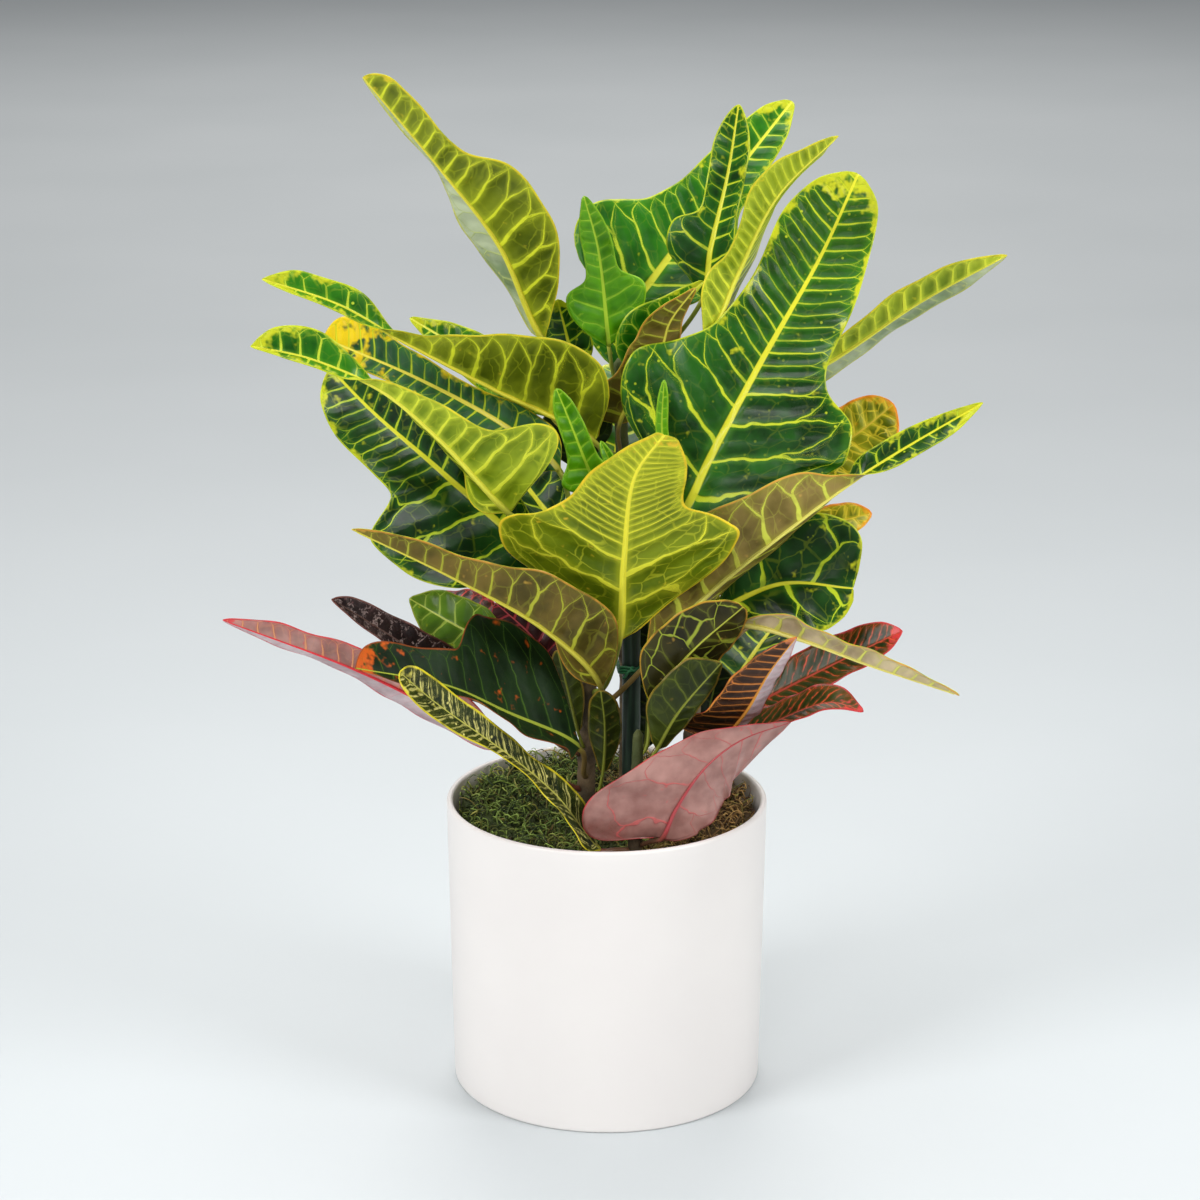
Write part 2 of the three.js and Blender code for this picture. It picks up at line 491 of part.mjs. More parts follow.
// A smooth curve through [share, value] pairs that doesn't overshoot them.
function smoothValue(pairs, t) {
  const last = pairs.length - 1;
  if (t <= pairs[0][0]) {
    return pairs[0][1];
  }
  if (t >= pairs[last][0]) {
    return pairs[last][1];
  }
  const steps = [];
  const slopes = [];
  for (let i = 0; i < last; i += 1) {
    steps.push(pairs[i + 1][0] - pairs[i][0]);
    slopes.push((pairs[i + 1][1] - pairs[i][1]) / steps[i]);
  }
  const tangents = pairs.map((pair, i) => {
    if (i === 0) {
      return slopes[0];
    }
    if (i === last) {
      return slopes[last - 1];
    }
    if (slopes[i - 1] * slopes[i] <= 0) {
      return 0;
    }
    const before = 2 * steps[i] + steps[i - 1];
    const after = steps[i] + 2 * steps[i - 1];
    return (before + after) / (before / slopes[i - 1] + after / slopes[i]);
  });
  let i = 0;
  while (t > pairs[i + 1][0]) {
    i += 1;
  }
  const s = (t - pairs[i][0]) / steps[i];
  const h00 = (1 + 2 * s) * (1 - s) * (1 - s);
  const h10 = s * (1 - s) * (1 - s);
  const h01 = s * s * (3 - 2 * s);
  const h11 = s * s * (s - 1);
  return h00 * pairs[i][1] + h10 * steps[i] * tangents[i]
    + h01 * pairs[i + 1][1] + h11 * steps[i] * tangents[i + 1];
}

function smoothStep(t) {
  const s = Math.min(Math.max(t, 0), 1);
  return s * s * (3 - 2 * s);
}

function stemCurve(stem) {
  return new THREE.CatmullRomCurve3(stem.axis.map((p) => new THREE.Vector3(...p)));
}

function stemAt(stem, z) {
  const curve = stemCurve(stem);
  const foot = stem.axis[0][2];
  const top = stem.axis[stem.axis.length - 1][2];
  let low = 0;
  let high = 1;
  for (let i = 0; i < HALVINGS; i += 1) {
    const middle = (low + high) / 2;
    if (curve.getPoint(middle).z < z) {
      low = middle;
    } else {
      high = middle;
    }
  }
  const share = (z - foot) / (top - foot);
  return { point: curve.getPoint(low), radius: stem.foot + (stem.top - stem.foot) * share };
}

// A closed tube round a list of centres, with a ring of sides at each.
function tubeGeometry(centres, radii, sides) {
  const positions = [];
  const triangles = [];
  centres.forEach((centre, i) => {
    for (let k = 0; k < sides; k += 1) {
      const angle = 2 * Math.PI * k / sides;
      positions.push(centre.x + radii[i] * Math.cos(angle), centre.y + radii[i] * Math.sin(angle), centre.z);
    }
  });
  for (let i = 0; i + 1 < centres.length; i += 1) {
    for (let k = 0; k < sides; k += 1) {
      const a = i * sides + k;
      const b = i * sides + (k + 1) % sides;
      triangles.push(a, b, b + sides, a, b + sides, a + sides);
    }
  }
  const end = (centres.length - 1) * sides;
  for (let k = 1; k + 1 < sides; k += 1) {
    triangles.push(0, k + 1, k, end, end + k, end + k + 1);
  }
  return meshGeometry(positions, triangles);
}

function stemGeometry(stem) {
  const curve = stemCurve(stem);
  const centres = [curve.getPoint(0).setZ(stem.axis[0][2] - ROOT_DEPTH)];
  const radii = [stem.foot * ROOT_SHARE];
  for (let i = 0; i <= STEM_STEPS; i += 1) {
    centres.push(curve.getPoint(i / STEM_STEPS));
    radii.push(stem.foot + (stem.top - stem.foot) * i / STEM_STEPS);
  }
  const crown = centres[centres.length - 1].clone();
  crown.z += stem.top;
  centres.push(crown);
  radii.push(stem.top * CROWN_SHARE);
  return tubeGeometry(centres, radii, STEM_SIDES);
}

function stakeGeometry() {
  const profile = [
    [0, STAKE.foot],
    [STAKE.radius, STAKE.foot + STAKE.radius],
    [STAKE.radius, STAKE.top - STAKE.chamfer],
    [STAKE.radius - STAKE.chamfer, STAKE.top],
    [0, STAKE.top],
  ];
  const geometry = standingLathe(profile, STAKE.sides);
  geometry.translate(STAKE.x, STAKE.y, 0);
  return geometry;
}

// The tie is a flat strip round the stake and the tall stem, with two short crossed tails.
function tieGeometry() {
  const stem = stemAt(STEMS.tall, TIE.z);
  const stake = new THREE.Vector3(STAKE.x, STAKE.y, TIE.z);
  const along = stem.point.clone().setZ(TIE.z).sub(stake);
  const reach = along.length();
  const inner = Math.max(STAKE.radius, stem.radius) + TIE.play;
  const outer = inner + TIE.thick;
  const shape = new THREE.Shape();
  shape.absarc(0, 0, outer, Math.PI / 2, 3 * Math.PI / 2, false);
  shape.absarc(reach, 0, outer, -Math.PI / 2, Math.PI / 2, false);
  const hole = new THREE.Path();
  hole.absarc(0, 0, inner, Math.PI / 2, 3 * Math.PI / 2, false);
  hole.absarc(reach, 0, inner, -Math.PI / 2, Math.PI / 2, false);
  shape.holes.push(hole);
  const settings = { depth: TIE.height, bevelEnabled: false, curveSegments: TIE.segments };
  let strip = toSolid(new THREE.ExtrudeGeometry(shape, settings));
  for (const side of [-1, 1]) {
    const tail = new THREE.BoxGeometry(TIE.tail, TIE.thick, TIE.height);
    tail.rotateY(side * TIE.tilt);
    tail.translate(-outer - TIE.tail / 2 + TIE.thick, side * TIE.apart, TIE.height / 2);
    strip = strip.add(toSolid(tail));
  }
  const geometry = toGeometry(strip);
  geometry.rotateZ(Math.atan2(along.y, along.x));
  geometry.translate(stake.x, stake.y, TIE.z);
  return geometry;
}

function potGeometry() {
  const lip = POT_HEIGHT - LIP_RADIUS;
  const middle = RIM_RADIUS - LIP_RADIUS;
  const profile = [[0, 0], [BASE_RADIUS - BASE_EDGE, 0], [BASE_RADIUS, BASE_EDGE]];
  for (let i = 0; i <= LIP_STEPS; i += 1) {
    const angle = Math.PI * i / LIP_STEPS;
    profile.push([middle + LIP_RADIUS * Math.cos(angle), lip + LIP_RADIUS * Math.sin(angle)]);
  }
  profile.push([BASE_RADIUS - WALL, POT_FLOOR + WALL]);
  profile.push([BASE_RADIUS - 2 * WALL, POT_FLOOR]);
  profile.push([0, POT_FLOOR]);
  return standingLathe(profile, POT_SIDES);
}

function innerRadius(z) {
  const share = (z - POT_FLOOR - WALL) / (POT_HEIGHT - LIP_RADIUS - POT_FLOOR - WALL);
  return BASE_RADIUS - WALL + (RIM_RADIUS - BASE_RADIUS) * share;
}

// A plain hole for each stem and for the stake.
function holes(solid) {
  const above = MOSS_TOP + 2 * MOSS_RELIEF + MOSS_BANK.rise;
  let cut = solid;
  for (const stem of Object.values(STEMS)) {
    const middle = new THREE.Vector3(...stem.axis[0]);
    const low = middle.clone().setZ(middle.z - ROOT_DEPTH - GAP);
    const high = stemAt(stem, above).point;
    const radii = [0, 0, 0].map(() => stem.foot + HOLE_PLAY);
    cut = cut.subtract(toSolid(tubeGeometry([low, middle, high], radii, STEM_SIDES)));
  }
  const low = new THREE.Vector3(STAKE.x, STAKE.y, STAKE.foot - GAP);
  const high = low.clone().setZ(above);
  const radii = [0, 0].map(() => STAKE.radius + HOLE_PLAY);
  return cut.subtract(toSolid(tubeGeometry([low, high], radii, STEM_SIDES)));
}

function soilGeometry() {
  const low = POT_FLOOR + GAP;
  const profile = [
    [0, low],
    [BASE_RADIUS - 2 * WALL - GAP, low],
    [innerRadius(POT_FLOOR + WALL) - 2 * GAP, POT_FLOOR + WALL + GAP],
    [innerRadius(SOIL_TOP) - 2 * GAP, SOIL_TOP],
    [0, SOIL_TOP],
  ];
  return toGeometry(holes(toSolid(standingLathe(profile, POT_SIDES))));
}

// How high a clump of moss stands at a point, between -1 and 1.
function clump(x, y) {
  const along = Math.sin(x * CLUMPS.alongX + CLUMPS.shift) * Math.cos(y * CLUMPS.alongY);
  return (along + Math.sin((x + y) * CLUMPS.across)) / 2;
}

// How much higher the moss is heaped towards the back of the pot.
function bank(y) {
  const share = (y - MOSS_BANK.from) / (MOSS_BANK.to - MOSS_BANK.from);
  return MOSS_BANK.rise * THREE.MathUtils.clamp(share, 0, 1);
}

// The moss is a disc on the soil whose top rises and falls in clumps.
function mossGeometry() {
  const positions = [0, 0, SOIL_TOP + GAP, 0, 0, MOSS_TOP + bank(0)];
  const triangles = [];
  const radius = innerRadius(SOIL_TOP) - 3 * GAP;
  const at = (ring, k, top) => 2 + ((ring - 1) * MOSS_SIDES + (k % MOSS_SIDES)) * 2 + top;
  for (let ring = 1; ring <= MOSS_RINGS; ring += 1) {
    for (let k = 0; k < MOSS_SIDES; k += 1) {
      const angle = 2 * Math.PI * k / MOSS_SIDES;
      const r = radius * ring / MOSS_RINGS;
      const x = r * Math.cos(angle);
      const y = r * Math.sin(angle);
      const edge = ring === MOSS_RINGS ? CLUMPS.edge : 0;
      const top = MOSS_TOP + MOSS_RELIEF * clump(x, y) + bank(y) - edge;
      positions.push(x, y, SOIL_TOP + GAP, x, y, top);
    }
  }
  for (let k = 0; k < MOSS_SIDES; k += 1) {
    triangles.push(1, at(1, k, 1), at(1, k + 1, 1), 0, at(1, k + 1, 0), at(1, k, 0));
    for (let ring = 1; ring < MOSS_RINGS; ring += 1) {
      const corners = [[ring, k], [ring + 1, k], [ring + 1, k + 1], [ring, k + 1]];
      const [a, b, c, d] = corners.map(([i, j]) => at(i, j, 1));
      const [e, f, g, h] = corners.map(([i, j]) => at(i, j, 0));
      triangles.push(a, b, c, a, c, d, e, g, f, e, h, g);
    }
    const outer = MOSS_RINGS;
    triangles.push(at(outer, k, 0), at(outer, k + 1, 0), at(outer, k + 1, 1));
    triangles.push(at(outer, k, 0), at(outer, k + 1, 1), at(outer, k, 1));
  }
  return toGeometry(holes(toSolid(meshGeometry(positions, triangles))));
}

// Where a leaf's centre line runs: out of the stem, up the petiole and along the midrib.
function leafPath(leaf) {
  const rib = leaf.rib.map((p) => new THREE.Vector3(...p));
  const { point, radius } = stemAt(STEMS[leaf.stem], leaf.z);
  const out = rib[0].clone().sub(point).setZ(0).normalize();
  const start = point.clone().addScaledVector(out, radius + GAP);
  const across = rib[0].clone().sub(start).setZ(0).length();
  const elbow = start.clone().addScaledVector(out, Math.min(PETIOLE.reach, PETIOLE.share * across));
  elbow.z += Math.min(PETIOLE.rise, PETIOLE.share * (rib[0].z - start.z));
  const curve = new THREE.CatmullRomCurve3([start, elbow, ...rib]);
  const divisions = PATH_STEPS * (rib.length + 1);
  const lengths = curve.getLengths(divisions);
  const foot = lengths[2 * PATH_STEPS] / lengths[divisions];
  return { curve, out, foot };
}

function leafFrame(leaf, path, share) {
  const { curve, out, foot } = path;
  const centre = curve.getPointAt(share);
  const tangent = share === 0 ? out.clone() : curve.getTangentAt(share);
  const t = (share - foot) / (1 - foot);
  const from = new THREE.Vector3(...leaf.face[0]).normalize();
  const to = new THREE.Vector3(...leaf.face[leaf.face.length - 1]).normalize();
  const [twistFrom, twistTo] = leaf.twist ?? [0, 1];
  const turned = smoothStep((t - twistFrom) / (twistTo - twistFrom));
  const level = new THREE.Vector3(0, 0, 1);
  const up = t < 0 ? level.lerp(from, smoothStep(share / foot)) : from.lerp(to, turned);
  up.addScaledVector(tangent, -up.dot(tangent)).normalize();
  return { centre, tangent, up, side: new THREE.Vector3().crossVectors(tangent, up), t };
}

function leafRing(leaf, path, share, halves) {
  const { centre, tangent, up, side, t } = leafFrame(leaf, path, share);
  const lean = leaf.lean ?? LEAN;
  const top = [];
  const bottom = [];
  for (let j = -halves; j <= halves; j += 1) {
    const q = j / halves;
    if (t < 0) {
      const angle = Math.PI / 2 - q * Math.PI * PETIOLE.arc;
      const across = centre.clone().addScaledVector(side, PETIOLE.radius * Math.cos(angle));
      const height = PETIOLE.radius * Math.sin(angle);
      top.push(across.clone().addScaledVector(up, height));
      bottom.push(across.clone().addScaledVector(up, -height));
      continue;
    }
    const turn = THREE.MathUtils.degToRad(q > 0 ? leaf.fold[0] : leaf.fold[1]) * smoothStep(t / FOLD_FULL);
    const reach = Math.abs(q) * smoothValue(q > 0 ? leaf.right : leaf.left, t);
    const phase = 2 * Math.PI * leaf.wave[1] * t + (q > 0 ? 0 : WAVE_SHIFT);
    const ripple = leaf.wave[0] * q * q * Math.sin(phase) * Math.sin(Math.PI * t);
    const point = centre.clone()
      .addScaledVector(side, Math.sign(q) * reach * Math.cos(turn))
      .addScaledVector(up, reach * Math.sin(turn) + ripple)
      .addScaledVector(tangent, lean * reach);
    const normal = up.clone().multiplyScalar(Math.cos(turn * Math.abs(q)))
      .addScaledVector(side, -Math.sign(q) * Math.sin(turn * Math.abs(q)));
    const ridge = q === 0 ? THREE.MathUtils.lerp(RIDGE.foot, RIDGE.tip, t) : 0;
    top.push(point.clone().addScaledVector(normal, BLADE / 2));
    bottom.push(point.clone().addScaledVector(normal, -BLADE / 2 - ridge));
  }
  return [...top, ...bottom];
}

// The cross sections of a blade stand where its outline has its own points.
function bladeStations(leaf) {
  const marks = [...leaf.right, ...leaf.left].map(([t]) => t).sort((a, b) => a - b);
  const stations = [0];
  for (const t of marks) {
    const gap = t - stations[stations.length - 1];
    if (gap < CLOSEST_STATIONS || (t < 1 && 1 - t < CLOSEST_STATIONS)) {
      continue;
    }
    if (gap > WIDEST_STATIONS) {
      stations.push(t - gap / 2);
    }
    stations.push(t);
  }
  return stations;
}

function leafGeometry(leaf) {
  const path = leafPath(leaf);
  const halves = leaf.small ? 1 : 2;
  const blade = bladeStations(leaf).map((t) => Math.min(path.foot + (1 - path.foot) * t, 1));
  const petiole = Array.from({ length: PETIOLE.rings }, (_, i) => path.foot * i / PETIOLE.rings);
  const rings = [...petiole, ...blade].map((share) => leafRing(leaf, path, share, halves));
  const width = 2 * halves + 1;
  const size = 2 * width;
  const positions = rings.flat().flatMap((p) => [p.x, p.y, p.z]);
  const triangles = [];
  for (let i = 0; i + 1 < rings.length; i += 1) {
    for (let j = 0; j + 1 < width; j += 1) {
      for (const [base, over] of [[0, true], [width, false]]) {
        const a = i * size + base + j;
        const b = a + 1;
        const c = b + size;
        const d = a + size;
        const halvesSplit = j < halves ? [[a, b, c], [a, c, d]] : [[a, b, d], [b, c, d]];
        halvesSplit.forEach(([p, q, r]) => triangles.push(...(over ? [p, q, r] : [p, r, q])));
      }
    }
    const start = i * size;
    const end = start + width - 1;
    triangles.push(start, start + size, start + size + width, start, start + size + width, start + width);
    triangles.push(end, end + width, end + width + size, end, end + width + size, end + size);
  }
  const last = (rings.length - 1) * size;
  for (let j = 0; j + 1 < width; j += 1) {
    triangles.push(j, j + width, j + width + 1, j, j + width + 1, j + 1);
    const a = last + j;
    triangles.push(a, a + width + 1, a + width, a, a + 1, a + width + 1);
  }
  return meshGeometry(positions, triangles);
}

addNode("pot", potGeometry(), finish(0xf7f3ee, 0.3));
addNode("soil", soilGeometry(), finish(0x2c211a, 0.95));
addNode("moss", mossGeometry(), finish(0x4d5a22, 0.95));
addNode("stake", stakeGeometry(), finish(0x1c2a1a, 0.6));
addNode("tie", tieGeometry(), finish(0x1f4a24, 0.6));
for (const [name, stem] of Object.entries(STEMS)) {
  addNode(`stem_${name}`, stemGeometry(stem), finish(0x6b4a30, 0.8));
}
for (const [name, leaf] of Object.entries(LEAVES)) {
  const { color, roughness } = FINISHES[leaf.finish];
  addNode(`leaf_${name}`, leafGeometry(leaf), finish(color, roughness));
}

export default plant;
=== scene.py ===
import math
from types import SimpleNamespace

import bpy
import numpy as np
from mathutils import Matrix, Vector


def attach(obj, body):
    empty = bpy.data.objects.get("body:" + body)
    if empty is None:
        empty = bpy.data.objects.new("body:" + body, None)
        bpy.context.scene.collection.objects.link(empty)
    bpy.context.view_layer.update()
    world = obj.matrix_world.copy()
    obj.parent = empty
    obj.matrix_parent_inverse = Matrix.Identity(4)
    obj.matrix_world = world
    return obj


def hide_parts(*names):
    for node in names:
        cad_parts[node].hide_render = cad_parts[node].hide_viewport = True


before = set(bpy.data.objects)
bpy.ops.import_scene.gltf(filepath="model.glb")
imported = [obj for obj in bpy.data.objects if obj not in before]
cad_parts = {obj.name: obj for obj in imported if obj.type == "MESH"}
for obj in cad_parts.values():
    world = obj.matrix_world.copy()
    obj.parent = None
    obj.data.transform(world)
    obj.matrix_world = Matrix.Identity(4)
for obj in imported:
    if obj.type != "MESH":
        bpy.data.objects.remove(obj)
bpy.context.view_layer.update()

MM = 0.001
TURN = 2 * math.pi
SEED = 20

# Pot. foot: the ring that it stands on, with its step inwards, its corner and its outer edge
POT_HEIGHT = 148
RIM_RADIUS = 80
BASE_RADIUS = 77.6
WALL = 3.2
POT_FLOOR = 6
LIP_RADIUS = WALL / 2
POT_SIDES = 192
FOOT = SimpleNamespace(rise=1.2, step=9, corner=7.5, edge=1.6)

# Moss: its bed, the bank towards the back and the sides, and the strands on it
GAP = 0.3
SOIL_TOP = 118
MOSS_TOP = 131
MOSS_RELIEF = 4
MOSS_BANK = SimpleNamespace(rise=12, start=-30, end=45, side_rise=3.5, side_start=44, side_run=24)
MOSS_RADIUS = 73.4
MOSS_RINGS = 46
MOSS_SIDES = 132
BED_DROP = 1.5
CLUMPS = SimpleNamespace(along_x=0.31, along_y=0.27, across=0.19, shift=1.3)
STRANDS = 3500
STRAND = SimpleNamespace(
    points=7, sides=3, length=(5, 14), rise=(0.2, 1.15), curl=(-3.8, 3.8), jitter=(-0.3, 0.3),
    thick=(0.28, 0.72), taper=0.6, arch=0.62, arch_turn=2.2, mottle=0.26, spread=0.985, overhang=0.4,
)
DRY = SimpleNamespace(middle=14, span=52)

# Stems: points on the axis from the moss up, radius at the foot and at the top
STEMS = {
    "left": dict(axis=((-11, -15, 118), (-9, -15, 215), (-6, -15, 302)), foot=5, top=3.4),
    "tall": dict(axis=((11, 12, 118), (10, 13, 240), (6, 20, 364)), foot=5, top=3),
    "right": dict(axis=((38, 2, 118), (43, -2, 195), (50, -4, 267)), foot=4.6, top=3),
    "front": dict(axis=((13, -52, 118), (14, -51, 160), (15, -49, 197)), foot=4, top=2.6),
}
ROOT_DEPTH = 45
STEM_SIDES = 22
STEM_STEP = 1.6
STEM_ENDS = SimpleNamespace(root=0.8, tip=0.35, dome=0.9)
SCAR = SimpleNamespace(spacing=9.0, rise=0.07, sharpness=6)
BARK_LUMPS = SimpleNamespace(height=0.03, along=0.9, around=0.57)
STAKE = SimpleNamespace(
    x=12, y=-12, radius=4.8, top=252, foot=55, joints=(62, 139), joint_width=1.3, joint_rise=0.06,
    wall=0.93, edge=0.8, point=1.2, steps=70, sides=28,
)
TIE = SimpleNamespace(
    z=219, wire=0.7, play=0.6, turns=3, steps=48, sides=8, lift=2.0, sway=0.5,
    end_steps=30, end_length=5, end_spread=6, end_rise=3, swirl=1.1, swirl_turns=9,
)

# The leaf's stalk, which runs on as the midrib: its elbow at the stem, and its taper up the blade
PETIOLE = SimpleNamespace(
    radius=1.35, reach=7, rise=4, share=0.4, swell=1.25, end=0.985, thin=0.2, taper=1.8, sunk=0.95,
)
SHORT_LEAF = SimpleNamespace(base=0.35, span=190)

# The blade: the size of a cell along and across, its thickness and its fine shape. neck and tip: how
# it narrows at both ends. lobes: where the waist above them is looked for, and how far it fades
FOLD_FULL = 0.125
WAVE_SHIFT = 1.5
SAMPLES = 200
CELL = SimpleNamespace(along=1.5, across=1.8)
THICK = SimpleNamespace(middle=0.5, margin=0.28)
NECK = SimpleNamespace(width=0.35, end=0.03)
TIP = SimpleNamespace(start=0.975, run=0.026, least=0.004)
LOBES = SimpleNamespace(start=0.12, end=0.66, fade=0.2)
VEIN_BEND = 0.0045
CUP = 1.25
ROUNDING = 3.2
PILLOW = SimpleNamespace(rise=0.035, most=0.6, near=3.0)
FRILL = SimpleNamespace(height=0.6, waves=5.5)
TUBE_SIDES = 10
TUBE_STEP = 2.5
FINE = 400


def widths(words):
    """Half widths as (share of the length, millimetres). A blade is 3 mm wide at its foot and 1 at
    its tip, where the words don't say so."""
    pairs = [tuple(float(n) for n in word.split(":")) for word in words.split()]
    pairs = [(percent / 100, width) for percent, width in pairs]
    start = [(0, 3)] if pairs[0][0] > 0 else []
    end = [(1, 1)] if pairs[-1][0] < 1 else []
    return start + pairs + end


def leaf(stem, z, looks, spacing, rib, face, fold, wave, right, left="", slant=0.0, lean=0.42, twist=(0, 1)):
    return SimpleNamespace(
        stem=STEMS[stem], z=z, looks=looks, spacing=spacing, rib=np.array(rib, float), face=face, fold=fold,
        wave=wave, widths=dict(right=widths(right), left=widths(left or right)), slant=slant, lean=lean,
        twist=twist,
    )


